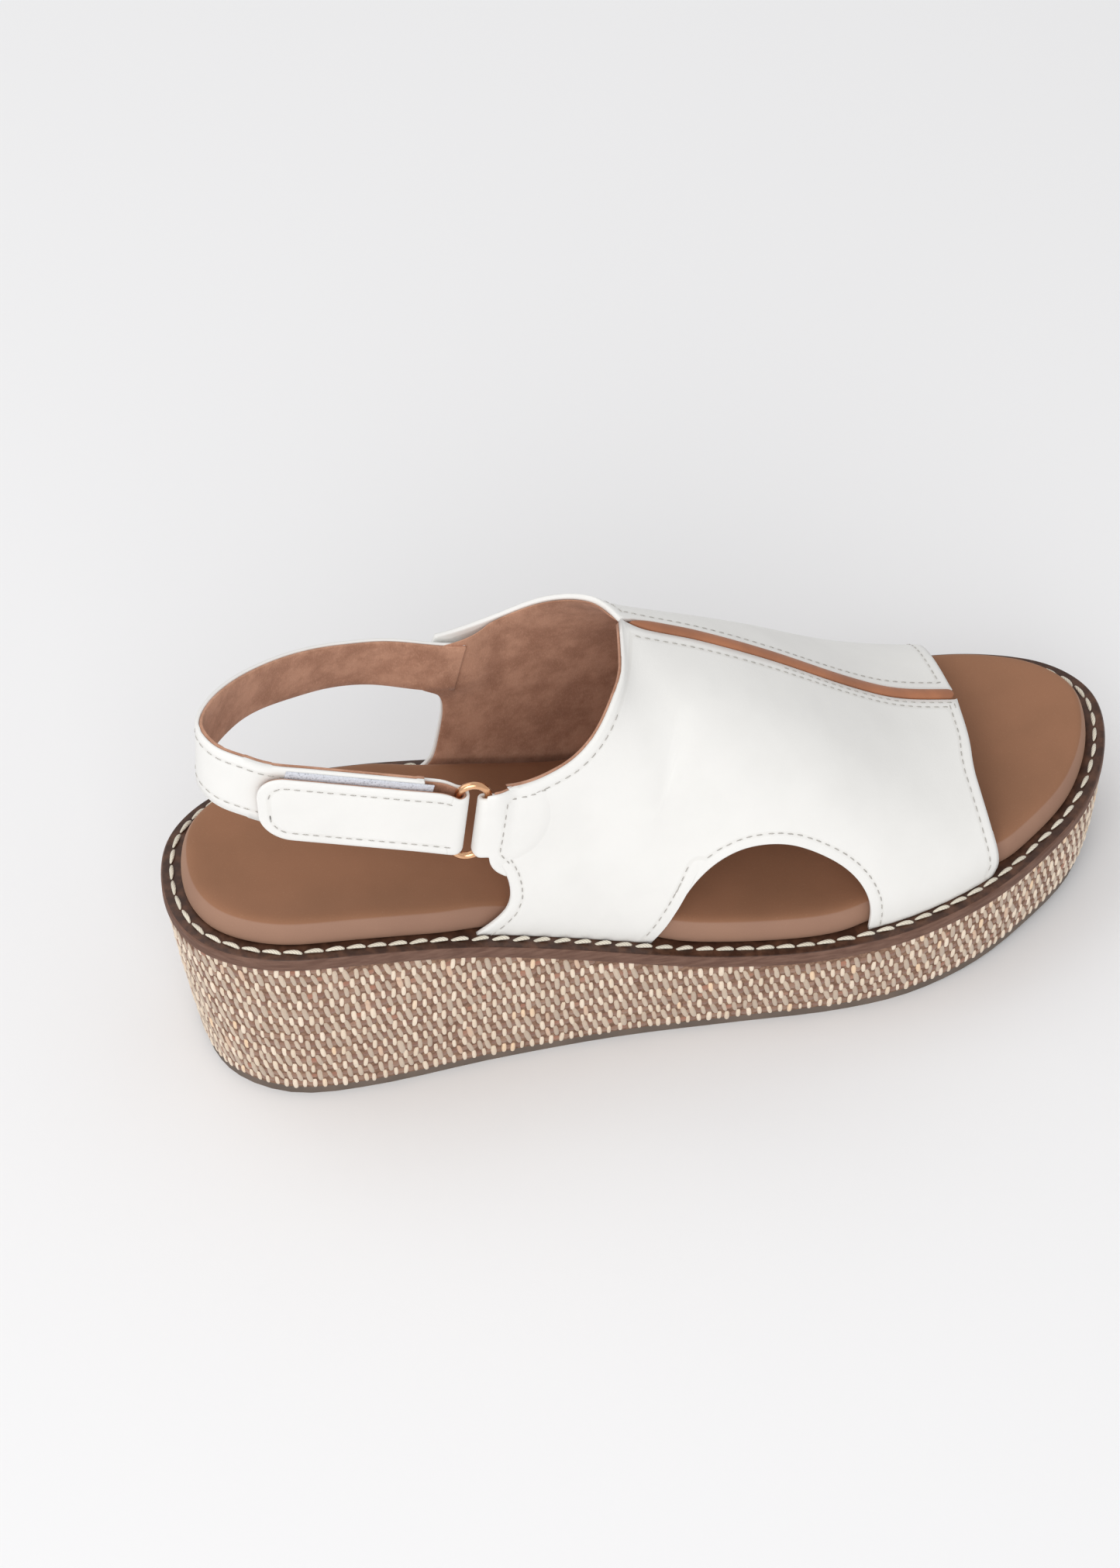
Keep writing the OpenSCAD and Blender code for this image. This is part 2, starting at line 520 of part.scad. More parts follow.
// ---- heel strap ----
// Place in the sandal's frame of a point x back along the ring's plane, d outside it
function beside_ring(x, d, z) = let(c = cos(ring_plan), s = sin(ring_plan))
    [ring_at[0] + x * c - d * s, ring_at[1] - x * s - d * c, z];
strap_run = [-49, -40, -30, -20, strap_end_x];
function run_z(x) = 104.2 + (strap_end_x - x) * 0.262;
strap_high = concat(strap_top, [for (x = strap_run) beside_ring(x, strap_face, run_z(x))]);
strap_low = concat(strap_bottom, [for (x = strap_run) beside_ring(x, strap_face, run_z(x) - 20.6)]);
strap_parts = 4 * (len(strap_high) - 1);
strap_rows = 2;
function strap_point(i, j) = let(f = i / strap_parts, a = along(strap_low, f), b = along(strap_high, f))
    a + (b - a) * j / strap_rows;
function strap_normal(i) = let(a = max(i - 1, 0), b = min(i + 1, strap_parts))
    unit(cross(strap_point(b, 1) - strap_point(a, 1), strap_point(i, strap_rows) - strap_point(i, 0)));
function strap_grid(depth) = [for (i = [0:strap_parts]) [for (j = [0:strap_rows])
    strap_point(i, j) - depth * strap_normal(i)]];
module heel_strap() {
    color("#f1f0ec") placed() shell(strap_grid(0), strap_grid(strap_t));
}
module heel_strap_lining() {
    depth = strap_t + strap_gap;
    color("#a0735c") placed() shell(strap_grid(depth), strap_grid(depth + strap_lining_t));
}

outsole();
wedge_core();
wedge_wrap();
shank();
insole_board();
welt();
welt_stitching();
footbed_core();
footbed_cover();
upper_lateral();
upper_medial();
lining_lateral();
lining_medial();
vamp_piping();
ring_tab();
strap_ring();
heel_strap();
heel_strap_lining();
loop_tape();
closure_anchor();
closure_anchor_lining();
closure_fold();
closure_flap();
closure_flap_lining();
hook_tape();
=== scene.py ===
"""Looks of the wedge sandal: leather, suede, weave, thread and metal over the fixed frame."""

import json
import math

import bmesh
import bpy
import numpy as np
from mathutils import Matrix, Vector
from mathutils.bvhtree import BVHTree
from mathutils.kdtree import KDTree


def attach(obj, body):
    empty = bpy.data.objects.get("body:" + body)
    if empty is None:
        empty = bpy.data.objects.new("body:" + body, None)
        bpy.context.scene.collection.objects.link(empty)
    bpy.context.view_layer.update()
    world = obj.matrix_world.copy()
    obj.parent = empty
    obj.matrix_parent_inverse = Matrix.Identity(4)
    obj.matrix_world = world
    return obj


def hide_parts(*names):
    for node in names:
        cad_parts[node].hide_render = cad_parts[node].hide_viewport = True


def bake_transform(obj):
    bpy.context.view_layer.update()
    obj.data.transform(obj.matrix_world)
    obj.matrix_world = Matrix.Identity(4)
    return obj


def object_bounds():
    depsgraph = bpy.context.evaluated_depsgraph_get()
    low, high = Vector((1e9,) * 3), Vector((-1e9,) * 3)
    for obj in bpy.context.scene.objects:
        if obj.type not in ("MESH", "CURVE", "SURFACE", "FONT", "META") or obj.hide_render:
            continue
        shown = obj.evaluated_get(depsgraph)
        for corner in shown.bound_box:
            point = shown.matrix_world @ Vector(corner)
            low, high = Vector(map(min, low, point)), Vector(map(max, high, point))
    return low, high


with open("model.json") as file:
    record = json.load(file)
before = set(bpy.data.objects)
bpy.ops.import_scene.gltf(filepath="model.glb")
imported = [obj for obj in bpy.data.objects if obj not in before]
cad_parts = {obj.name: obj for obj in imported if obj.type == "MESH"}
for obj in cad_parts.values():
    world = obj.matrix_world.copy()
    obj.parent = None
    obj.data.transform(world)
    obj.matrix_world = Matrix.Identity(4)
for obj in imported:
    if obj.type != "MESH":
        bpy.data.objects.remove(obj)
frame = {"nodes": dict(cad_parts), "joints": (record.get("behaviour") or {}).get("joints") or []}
cad_low, cad_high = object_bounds()
nodes = frame["nodes"]
joints = {j["name"]: j for j in frame["joints"]}
chance = np.random.default_rng(7)
MM = 0.001

# Camera: turn and tilt in degrees, distance and target in millimetres
CAMERA_TURN, CAMERA_TILT, CAMERA_ROLL = -17.324, 46.222, -0.458
CAMERA_DISTANCE = 1336.6
CAMERA_TARGET = (-13.708, 34.622, 25.0)
CAMERA_LENS = 112.94

# Centre of the plan in the frame in which the upper was drawn, in millimetres
DRAWN_X, DRAWN_Y = 133.292, 0.824

# Weave of the wedge: width of one warp yarn and height of one row
YARN_PITCH = 1.37 * MM
ROW_PITCH = 3.35 * MM
# Fine stitching of the leather
SEAM_INSET = 3.0 * MM
SEAM_PITCH = 2.8 * MM
SEAM_LENGTH = 1.8 * MM
# How firmly a cut edge of leather keeps its corner, from 0 to 1
EDGE_FIRMNESS = 0.55


# ---- finishes ----
def colour(r, g, b):
    """A screen colour from 0 to 255 as the linear colour that a shader takes."""
    def linear(c):
        c = c / 255
        return c / 12.92 if c <= 0.04045 else ((c + 0.055) / 1.055) ** 2.4
    return (linear(r), linear(g), linear(b), 1)


class Number:
    """A number in a finish's node tree. Arithmetic on it adds Math nodes."""

    def __init__(self, finish, socket):
        self.finish, self.socket = finish, socket

    def math(self, operation, a, b=0.0):
        return self.finish.add("Math", {"operation": operation}, {0: a, 1: b})

    def __add__(self, other):
        return self.math("ADD", self, other)

    def __radd__(self, other):
        return self.math("ADD", other, self)

    def __sub__(self, other):
        return self.math("SUBTRACT", self, other)

    def __rsub__(self, other):
        return self.math("SUBTRACT", other, self)

    def __mul__(self, other):
        return self.math("MULTIPLY", self, other)

    def __rmul__(self, other):
        return self.math("MULTIPLY", other, self)

    def __truediv__(self, other):
        return self.math("DIVIDE", self, other)

    def __abs__(self):
        return self.math("ABSOLUTE", self)

    def sine(self):
        return self.math("SINE", self)

    def ease(self, low, high):
        """0 below low, 1 above high, smooth between them."""
        return self.finish.add("MapRange", {"interpolation_type": "SMOOTHSTEP"},
                               {"Value": self, "From Min": low, "From Max": high})


class Finish:
    """One procedural material."""

    def __init__(self, name, **constants):
        self.material = bpy.data.materials.new(name)
        self.material.use_nodes = True
        self.tree = self.material.node_tree
        self.shader = self.tree.nodes["Principled BSDF"]
        for key, value in constants.items():
            self.shader.inputs[key.replace("_", " ")].default_value = value

    def add(self, kind, settings=None, sockets=None, out=0):
        """A node of that kind: its settings first, then the values or links of its sockets."""
        node = self.tree.nodes.new("ShaderNode" + kind)
        for key, value in (settings or {}).items():
            setattr(node, key, value)
        for key, value in (sockets or {}).items():
            self.put(node.inputs[key], value)
        return Number(self, node.outputs[out])

    def put(self, target, value):
        """Link a number to a socket, or write a constant on it."""
        if isinstance(value, Number):
            self.tree.links.new(value.socket, target)
        else:
            target.default_value = value

    def set(self, **sockets):
        """Fill the shader's sockets. The result is the material."""
        for key, value in sockets.items():
            self.put(self.shader.inputs[key.replace("_", " ")], value)
        return self.material

    def place(self, scale=(1, 1, 1)):
        """Object coordinates in millimetres, stretched by scale."""
        return self.add("Mapping", {}, {
            "Vector": self.add("TexCoord", out="Object"),
            "Scale": [s / MM for s in scale]})

    def attribute(self, name, out="Fac"):
        """A value that the mesh stores at its points."""
        return self.add("Attribute", {"attribute_name": name}, out=out)

    def noise(self, size, detail=2.0, rough=0.5, scale=(1, 1, 1)):
        """Noise from 0 to 1 with lumps of that size in millimetres."""
        return self.add("TexNoise", {}, {"Vector": self.place(scale), "Scale": 1 / size,
                                         "Detail": detail, "Roughness": rough})

    def cells(self, size):
        """Distance to the middle of the nearest cell, with cells of that size in millimetres."""
        return self.add("TexVoronoi", {"feature": "F1"},
                        {"Vector": self.place(), "Scale": 1 / size}, out="Distance")

    def mix(self, factor, a, b):
        """Colour a where the factor is 0, and b where it is 1."""
        return self.add("Mix", {"data_type": "RGBA"}, {0: factor, 6: a, 7: b}, out=2)

    def relief(self, height, depth, strength=1.0):
        """A bump of that depth in millimetres."""
        return self.add("Bump", {}, {"Height": height, "Distance": depth * MM,
                                     "Strength": strength})


def white_leather():
    """White leather: fine pebbling, soft wrinkles, a stitch channel with painted shade in it, and a rolled
    edge.
    """
    tone = (236, 235, 232)
    f = Finish("white_leather", Specular_IOR_Level=0.4, Coat_Weight=0.0)
    cloudy = f.noise(22, 3)
    grain = f.cells(0.75) * 0.6 + f.noise(0.35, 3) * 0.5
    wrinkle = f.noise(5, 4, 0.6, (1, 1, 0.5))
    rim = f.attribute("rim")
    channel = 1 - abs(rim - SEAM_INSET).ease(0.25 * MM, 0.9 * MM)
    rolled = 1 - rim.ease(0.0, 1.6 * MM)
    base = f.mix(cloudy.ease(0.3, 0.75), colour(*tone), colour(*[c - 5 for c in tone]))
    # painted shade: the stitch channel's groove is darkened in the base colour
    base = f.mix(channel * 0.12, base, colour(188, 182, 172))
    height = grain * 0.3 + wrinkle * 0.5 - channel * 0.8 - rolled * 0.2
    return f.set(Base_Color=base, Roughness=0.46 + grain * 0.1 + cloudy * 0.05,
                 Normal=f.relief(height, 0.09, 0.7))


def suede(name, tone, dark):
    """A brushed lining: blotches of two shades under short fibres."""
    f = Finish(name, Sheen_Weight=0.35, Sheen_Roughness=0.5, Specular_IOR_Level=0.15)
    f.set(Sheen_Tint=colour(235, 205, 190))
    blotch = f.noise(9.0, 4, 0.65)
    fibres = f.noise(0.35, 4, 0.7, (1, 1, 0.4))
    flecks = f.noise(0.9, 2)
    base = f.mix(blotch.ease(0.35, 0.68), colour(*dark), colour(*tone))
    base = f.mix(fibres.ease(0.45, 0.8) * 0.35, base, colour(*[min(255, c + 38) for c in tone]))
    return f.set(Base_Color=base, Roughness=0.88 + flecks * 0.1,
                 Normal=f.relief(fibres * 0.7 + flecks * 0.5 + blotch * 0.6, 0.16, 0.9))


def footbed_microfibre():
    """The footbed's cover, darker on top than on its turned-down side: painted light and shade, chosen by
    which way the face points.
    """
    f = Finish("footbed_microfibre", Sheen_Weight=0.25, Sheen_Roughness=0.45, Specular_IOR_Level=0.25)
    f.set(Sheen_Tint=colour(230, 190, 160))
    up = f.add("SeparateXYZ", {}, {0: f.add("TexCoord", out="Normal")}, out="Z")
    side = 1 - up.ease(0.62, 0.8)
    speck = f.noise(0.4, 3, 0.7)
    cloudy = f.noise(26, 3)
    top = f.mix(cloudy.ease(0.3, 0.7), colour(139, 99, 74), colour(148, 105, 79))
    wall = f.mix(cloudy.ease(0.3, 0.7), colour(150, 115, 97), colour(158, 122, 102))
    # painted light and shade: one cover, its upward faces painted darker and its turned-down side lighter
    base = f.mix(side, top, wall)
    base = f.mix(speck.ease(0.55, 0.85) * 0.3, base, colour(188, 150, 122))
    return f.set(Base_Color=base, Roughness=0.7 + speck * 0.15,
                 Normal=f.relief(speck * 0.6 + f.noise(1.6, 2) * 0.4, 0.07, 0.7))


def welt_top():
    """Dark, fairly glossy face of the welt."""
    f = Finish("welt_top", Specular_IOR_Level=0.42)
    streak = f.noise(3.5, 4, 0.6)
    fine = f.noise(0.5, 3)
    base = f.mix(streak.ease(0.35, 0.75), colour(58, 35, 24), colour(94, 62, 45))
    return f.set(Base_Color=base, Roughness=0.26 + streak * 0.2 + fine * 0.08,
                 Normal=f.relief(streak * 0.7 + fine * 0.25, 0.16, 0.6))


def welt_side():
    """The welt's cut edge: paler and duller, with streaks along it."""
    f = Finish("welt_side", Specular_IOR_Level=0.3)
    streak = f.noise(2.4, 4, 0.6, (0.4, 0.4, 2.5))
    fine = f.noise(0.4, 3)
    base = f.mix(streak.ease(0.3, 0.75), colour(98, 70, 58), colour(122, 92, 78))
    return f.set(Base_Color=base, Roughness=0.62 + fine * 0.15,
                 Normal=f.relief(streak * 0.5 + fine * 0.4, 0.08, 0.7))


def thread(name, tone, twist=5.2):
    """Twisted thread with painted shade in the grooves of its twist: local coordinates run along each
    stitch, in millimetres.
    """
    f = Finish(name, Sheen_Weight=0.2, Specular_IOR_Level=0.3)
    local = f.attribute("local", "Vector")
    x = f.add("SeparateXYZ", {}, {0: local}, out="X")
    y = f.add("SeparateXYZ", {}, {0: local}, out="Y")
    ply = (x * twist + y * 2 * twist).sine() * 0.5 + 0.5
    lot = f.attribute("lot")
    base = f.mix(lot, colour(*tone), colour(*[c - 14 for c in tone]))
    # painted shade: the grooves between the plies are darkened
    base = f.mix((1 - ply).ease(0.45, 1.0) * 0.55, base, colour(*[int(c * 0.72) for c in tone]))
    return f.set(Base_Color=base, Roughness=0.72 + lot * 0.1, Normal=f.relief(ply, 0.12, 0.8))


def yarn(name, tone, second, third):
    """A slub yarn: each float has its own shade, and fibres run along it."""
    f = Finish(name, Sheen_Weight=0.25, Sheen_Roughness=0.6, Specular_IOR_Level=0.2)
    lot = f.attribute("lot")
    local = f.attribute("local", "Vector")
    fibres = f.add("TexNoise", {}, {"Vector": f.add("Mapping", {}, {"Vector": local, "Scale": (0.9, 5, 5)}),
                                    "Scale": 1.3, "Detail": 3.0})
    slub = f.noise(1.4, 3)
    base = f.mix(lot, colour(*tone), colour(*second))
    base = f.mix((lot * 40).sine().ease(0.97, 1.0) * 0.7, base, colour(*third))
    base = f.mix(fibres.ease(0.5, 0.75) * 0.45, base, colour(*[int(c * 0.72) for c in tone]))
    base = f.mix(slub.ease(0.6, 0.8) * 0.25, base, colour(120, 96, 80))
    return f.set(Base_Color=base, Roughness=0.88, Normal=f.relief(fibres + slub * 0.5, 0.16, 0.9))


def shadow_cloth():
    """A sheet painted as the dull shade that shows between the yarns."""
    f = Finish("weave_painted_shade", Specular_IOR_Level=0.1)
    mottled = f.noise(1.2, 3)
    base = f.mix(mottled.ease(0.35, 0.7), colour(118, 90, 76), colour(152, 122, 102))
    return f.set(Base_Color=base, Roughness=0.95, Normal=f.relief(mottled, 0.2))


def plain(name, tone, rough, size=1.0, depth=0.05, **constants):
    """A moulded or cut material: two near shades, fine relief."""
    f = Finish(name, **constants)
    fine = f.noise(size, 3, 0.6)
    broad = f.noise(size * 14, 3)
    base = f.mix(broad.ease(0.3, 0.7), colour(*tone), colour(*[max(0, int(c * 0.9)) for c in tone]))
    return f.set(Base_Color=base, Roughness=rough + fine * 0.12, Normal=f.relief(fine, depth, 0.7))


def ring_metal():
    """Polished gold-coloured metal with faint smears."""
    f = Finish("ring_metal", Metallic=1.0)
    smear = f.noise(2.5, 3)
    base = f.mix(smear.ease(0.3, 0.8), colour(236, 188, 148), colour(226, 172, 130))
    return f.set(Base_Color=base, Roughness=0.13 + smear * 0.1, Normal=f.relief(smear, 0.02, 0.4))


def tape_finish(name, tone, pit_shade):
    """Woven tape with a pile of hooks or loops, and painted shade in the sunken middle of each cell."""
    f = Finish(name, Sheen_Weight=0.3, Specular_IOR_Level=0.3)
    pile = f.noise(0.32, 4, 0.75)
    rows = f.cells(0.85)
    base = f.mix(pile.ease(0.4, 0.75), colour(*tone), colour(*[c - 30 for c in tone]))
    # painted shade: each cell's sunken middle is darkened
    base = f.mix((1 - rows.ease(0.12, 0.4)) * pit_shade, base, colour(*[c - 55 for c in tone]))
    return f.set(Base_Color=base, Roughness=0.85, Normal=f.relief(pile + rows, 0.2))


# ---- mesh helpers ----
def only(*objects):
    """Select these objects and nothing else."""
    bpy.ops.object.select_all(action="DESELECT")
    for o in objects:
        o.select_set(True)
    bpy.context.view_layer.objects.active = objects[0]


def apply_all(obj):
    """Apply every modifier of the object."""
    only(obj)
    for m in list(obj.modifiers):
        bpy.ops.object.modifier_apply(modifier=m.name)


def new_piece(name, points, faces, finish=None):
    """An object made of points and faces."""
    mesh = bpy.data.meshes.new(name)
    mesh.from_pydata([tuple(p) for p in points], [], [tuple(f) for f in faces])
    mesh.update()
    obj = bpy.data.objects.new(name, mesh)
    bpy.context.scene.collection.objects.link(obj)
    if finish:
        mesh.materials.append(finish)
    return obj


def welded(node, name):
    """A copy of a CAD node with its loose triangles welded into quads."""
    obj = bpy.data.objects.new(name, nodes[node].data.copy())
    bpy.context.scene.collection.objects.link(obj)
    obj.data.materials.clear()
    only(obj)
    if obj.data.has_custom_normals:
        bpy.ops.mesh.customdata_custom_splitnormals_clear()
    bpy.ops.object.mode_set(mode="EDIT")
    bpy.ops.mesh.select_all(action="SELECT")
    bpy.ops.mesh.remove_doubles(threshold=0.01 * MM)
    bpy.ops.mesh.tris_convert_to_quads(face_threshold=math.radians(50), shape_threshold=math.pi)
    bpy.ops.mesh.mark_sharp(clear=True)
    bpy.ops.object.mode_set(mode="OBJECT")
    return obj


def smooth_over(obj, levels):
    """Subdivide a piece and shade it smooth."""
    m = obj.modifiers.new("Subdivision", "SUBSURF")
    m.levels = m.render_levels = levels
    apply_all(obj)
    bpy.ops.object.shade_smooth()
    return obj


def hold_edges(obj):
    """Crease a shell's cut edge, and pin the corners of its outline."""
    bm = bmesh.new()
    bm.from_mesh(obj.data)
    edge_crease = bm.edges.layers.float.new("crease_edge")
    corner = bm.verts.layers.float.new("crease_vert")
    for edge in bm.edges:
        angle = edge.calc_face_angle(0)
        if angle > math.radians(70):
            edge[edge_crease] = EDGE_FIRMNESS
        thin = all(min(f.calc_perimeter() - 2 * e.calc_length() for e in f.edges) < 5 * MM
                   for f in edge.link_faces)
        if thin and edge.calc_length() < 1.9 * MM and angle > math.radians(35):
            edge[edge_crease] = 1.0
            for v in edge.verts:
                v[corner] = 1.0
    bm.to_mesh(obj.data)
    bm.free()


def relax_inside(obj, skin, repeat):
    """Even out the facets of a shell away from its cut edges."""
    only(obj)
    obj.data.vertices.foreach_set("select", [skin.edge.find(v.co)[2] > 1.3 * MM for v in obj.data.vertices])
    obj.data.edges.foreach_set("select", [False] * len(obj.data.edges))
    obj.data.polygons.foreach_set("select", [False] * len(obj.data.polygons))
    bpy.ops.object.mode_set(mode="EDIT")
    bpy.context.tool_settings.mesh_select_mode = (True, False, False)
    bpy.ops.mesh.vertices_smooth(factor=0.5, repeat=repeat)
    bpy.ops.object.mode_set(mode="OBJECT")


def dress(obj, finish, body=None, replaced=()):
    """Give a piece its finish, and set what it rides on and stands for."""
    obj.data.materials.clear()
    obj.data.materials.append(finish)
    if replaced:
        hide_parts(*replaced)
    if body:
        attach(obj, body)
    return obj


class Skin:
    """One face of a shell, found by spreading over it without crossing a sharp edge."""

    def __init__(self, obj, centre, sharp=math.radians(62), side=1, keep=lambda p: True):
        bm = bmesh.new()
        bm.from_mesh(obj.data)
        bm.faces.ensure_lookup_table()
        seen, regions = set(), []
        for seed in bm.faces:
            if seed.index in seen:
                continue
            region, queue = [], [seed]
            seen.add(seed.index)
            while queue:
                face = queue.pop()
                region.append(face)
                for edge in face.edges:
                    if len(edge.link_faces) != 2 or edge.calc_face_angle(0) > sharp:
                        continue
                    for other in edge.link_faces:
                        if other.index not in seen:
                            seen.add(other.index)
                            queue.append(other)
            regions.append(region)

        def outward(faces):
            """How much the faces look away from the centre, or towards it if side is -1."""
            return side * sum(f.calc_area() * f.normal.dot(f.calc_center_median() - centre) for f in faces)

        region = max(regions, key=outward)
        inside = set(f.index for f in region)
        self.points = [v.co.copy() for v in bm.verts]
        self.faces = [[v.index for v in f.verts] for f in region]
        self.tree = self.face = BVHTree.FromPolygons(self.points, self.faces)
        following = {}
        for face in region:
            for loop in face.loops:
                if sum(f.index in inside for f in loop.edge.link_faces) == 1:
                    following[loop.vert.index] = loop.link_loop_next.vert.index
        bm.free()
        self.rims = []
        while following:
            run = [next(iter(following))]
            while run[-1] in following:
                run.append(following.pop(run[-1]))
            line = [self.points[i] for i in run]
            if sum((b - a).length for a, b in zip(line, line[1:])) > 60 * MM:
                self.rims += kept_parts(even(line, 0.4 * MM), keep)
        self.edge = KDTree(sum(len(r) for r in self.rims))
        for rim in self.rims:
            for p in rim:
                self.edge.insert(p, 0)
        self.edge.balance()

    def settle(self, obj):
        """Let the seams follow the face of the finished piece."""
        points = [v.co.copy() for v in obj.data.vertices]
        faces = []
        for face in obj.data.polygons:
            _, normal, _, away = self.tree.find_nearest(face.center)
            if away < 0.5 * MM and normal.dot(face.normal) > 0.5:
                faces.append(list(face.vertices))
        self.face = BVHTree.FromPolygons(points, faces)

    def seam(self, inset):
        """Points and normals of the lines that follow the rims at that inset, as separate runs."""
        runs = []
        for rim in self.rims:
            run = []
            for i, p in enumerate(rim):
                t = rim[min(i + 3, len(rim) - 1)] - rim[max(i - 3, 0)]
                n = sum((near[1] for near in self.tree.find_nearest_range(p, 2.5 * MM)), Vector())
                q = p + n.cross(t).normalized() * inset
                for _ in range(3):
                    q, normal, _, _ = self.face.find_nearest(p + (q - p).normalized() * inset)
                if self.edge.find(q)[2] > inset * 0.85:
                    if run and (q - run[-1][0]).length > 3 * MM:
                        runs.append(run)
                        run = []
                    run.append((q, normal))
            if run:
                runs.append(run)
        return runs


def kept_parts(line, keep):
    """The stretches of a closed line whose points are kept."""
    flags = [keep(p) for p in line]
    if all(flags):
        return [line]
    start = flags.index(False)
    parts, part = [], []
    for k in range(len(line)):
        i = (start + k) % len(line)
        if flags[i]:
            part.append(line[i])
        elif part:
            parts.append(part)
            part = []
    if part:
        parts.append(part)
    return [p for p in parts if len(p) > 12]


def even(points, step):
    """Points of a line, evenly spaced."""
    out, carry = [points[0].copy()], 0.0
    for a, b in zip(points, points[1:]):
        length = (b - a).length
        at = step - carry
        while at <= length:
            out.append(a.lerp(b, at / length))
            at += step
        carry = (carry + length) % step
    return out


def keep_rim(obj, skin):
    """Store each point's distance from the rim, for the finish."""
    store_rim(obj, [skin.edge.find(v.co)[2] for v in obj.data.vertices])


def store_rim(obj, values):
    """Write each point's distance from the rim, in metres."""
    obj.data.attributes.new("rim", "FLOAT", "POINT").data.foreach_set("value", values)


def thicken(obj, thickness, offset):
    """Turn an open face into a layer of that thickness in millimetres."""
    m = obj.modifiers.new("Solidify", "SOLIDIFY")
    m.thickness, m.offset = thickness * MM, offset
    apply_all(obj)


def grid_faces(rows, across, flip=False):
    """Faces of a grid of points that run row after row, with across faces in a row."""
    faces = []
    for i in range(rows - 1):
        for j in range(across):
            a = i * (across + 1) + j
            face = (a, a + across + 1, a + across + 2, a + 1)
            faces.append((face[0], *face[:0:-1]) if flip else face)
    return faces


def scatter(name, pattern, places, finish):
    """One mesh of many small copies of a pattern. Each copy has its own lot number from 0 to 1."""
    base = np.array([v.co for v in pattern.data.vertices])
    faces = [tuple(p.vertices) for p in pattern.data.polygons]
    count = len(base)
    points, all_faces, lots = [], [], []
    for k, place in enumerate(places):
        m = np.array(place)
        points.append(base @ m[:3, :3].T + m[:3, 3])
        all_faces += [tuple(i + k * count for i in f) for f in faces]
        lots += [chance.random()] * count
    obj = new_piece(name, np.concatenate(points), all_faces, finish)
    obj.data.attributes.new("lot", "FLOAT", "POINT").data.foreach_set("value", lots)
    local = np.tile(base / MM, (len(places), 1)).astype(np.float32)
    obj.data.attributes.new("local", "FLOAT_VECTOR", "POINT").data.foreach_set("vector", local.ravel())
    obj.data.polygons.foreach_set("use_smooth", [True] * len(obj.data.polygons))
    return obj


def facing(at, along, up):
    """Place with x along a line and z up from a surface."""
    x = (along - up * along.dot(up)).normalized()
    y = up.cross(x)
    return Matrix(((x.x, y.x, up.x, at.x), (x.y, y.y, up.y, at.y), (x.z, y.z, up.z, at.z), (0, 0, 0, 1)))


def grain(name, length, width, height, segments=8, rings=6, square=0.8):
    """A small smooth grain: a sphere pulled long, with sides fuller than an ellipsoid's."""
    bpy.ops.object.select_all(action="DESELECT")
    bpy.ops.mesh.primitive_uv_sphere_add(segments=segments, ring_count=rings, radius=0.5)
    obj = bpy.context.object
    obj.name = name
    bpy.ops.object.mode_set(mode="EDIT")
    bpy.ops.mesh.select_all(action="SELECT")
    bpy.ops.transform.rotate(value=math.pi / 2, orient_axis="Y", center_override=(0, 0, 0))
    bpy.ops.object.mode_set(mode="OBJECT")
    for v in obj.data.vertices:
        radius = math.hypot(v.co.y, v.co.z)
        if radius > 1e-6:
            fuller = 0.5 * (radius / 0.5) ** square / radius
            v.co.y *= fuller
            v.co.z *= fuller
        v.co = (v.co.x * length, v.co.y * width, v.co.z * height)
    return obj


def leaf_stitch(length, width, height):
    """A two-ply stitch, twisted and bent sideways along its length, with its ends turned down into the
    holes.
    """
    obj = grain("stitch_pattern", length, width, height, 10, 9, 0.7)
    for v in obj.data.vertices:
        s = v.co.x / length
        turn = s * 2.6
        v.co.y, v.co.z = (v.co.y * math.cos(turn) - v.co.z * math.sin(turn),
                          v.co.y * math.sin(turn) + v.co.z * math.cos(turn))
        v.co.y += 0.22 * width * math.sin(s * math.pi)
        v.co.z += height * (0.35 - 2.2 * s * s)
    return obj


def sewn(runs, pitch):
    """Places of stitches along the runs of a seam."""
    places = []
    for run in runs:
        points = [p for p, _ in run]
        walked = np.concatenate([[0], np.cumsum([(b - a).length for a, b in zip(points, points[1:])])])
        total = walked[-1]
        count = int(total / pitch)
        for k in range(count):
            s = (k + 0.5) * total / count
            i = min(int(np.searchsorted(walked, s)), len(points) - 1)
            a, b = max(i - 3, 0), min(i + 3, len(points) - 1)
            if a == b:
                continue
            places.append(facing(points[i], points[b] - points[a], run[i][1]))
    return places


# ---- finishes of the carried-over nodes ----
leather = white_leather()
lining = suede("lining_suede", (198, 152, 127), (166, 122, 99))
thread_cream = thread("welt_thread", (238, 230, 212))
thread_fine = thread("seam_thread", (204, 201, 195), twist=9.0)
CAD_FINISHES = {
    "outsole": plain("outsole_rubber", (112, 98, 88), 0.62, 0.8, 0.08),
    "wedge_core": plain("wedge_foam", (203, 183, 154), 0.8, 1.5),
    # painted shade: the wrap's sheet stands in for the shade between the yarn floats
    "wedge_wrap": shadow_cloth(),
    "shank": plain("shank_steel", (150, 154, 158), 0.35, 2.0, 0.01, Metallic=1.0),
    "insole_board": plain("insole_fibreboard", (165, 138, 106), 0.9, 0.9, 0.08),
    "footbed_core": plain("footbed_foam", (201, 176, 140), 0.85, 1.2),
}
for node, finish in CAD_FINISHES.items():
    nodes[node].data.materials.clear()
    nodes[node].data.materials.append(finish)

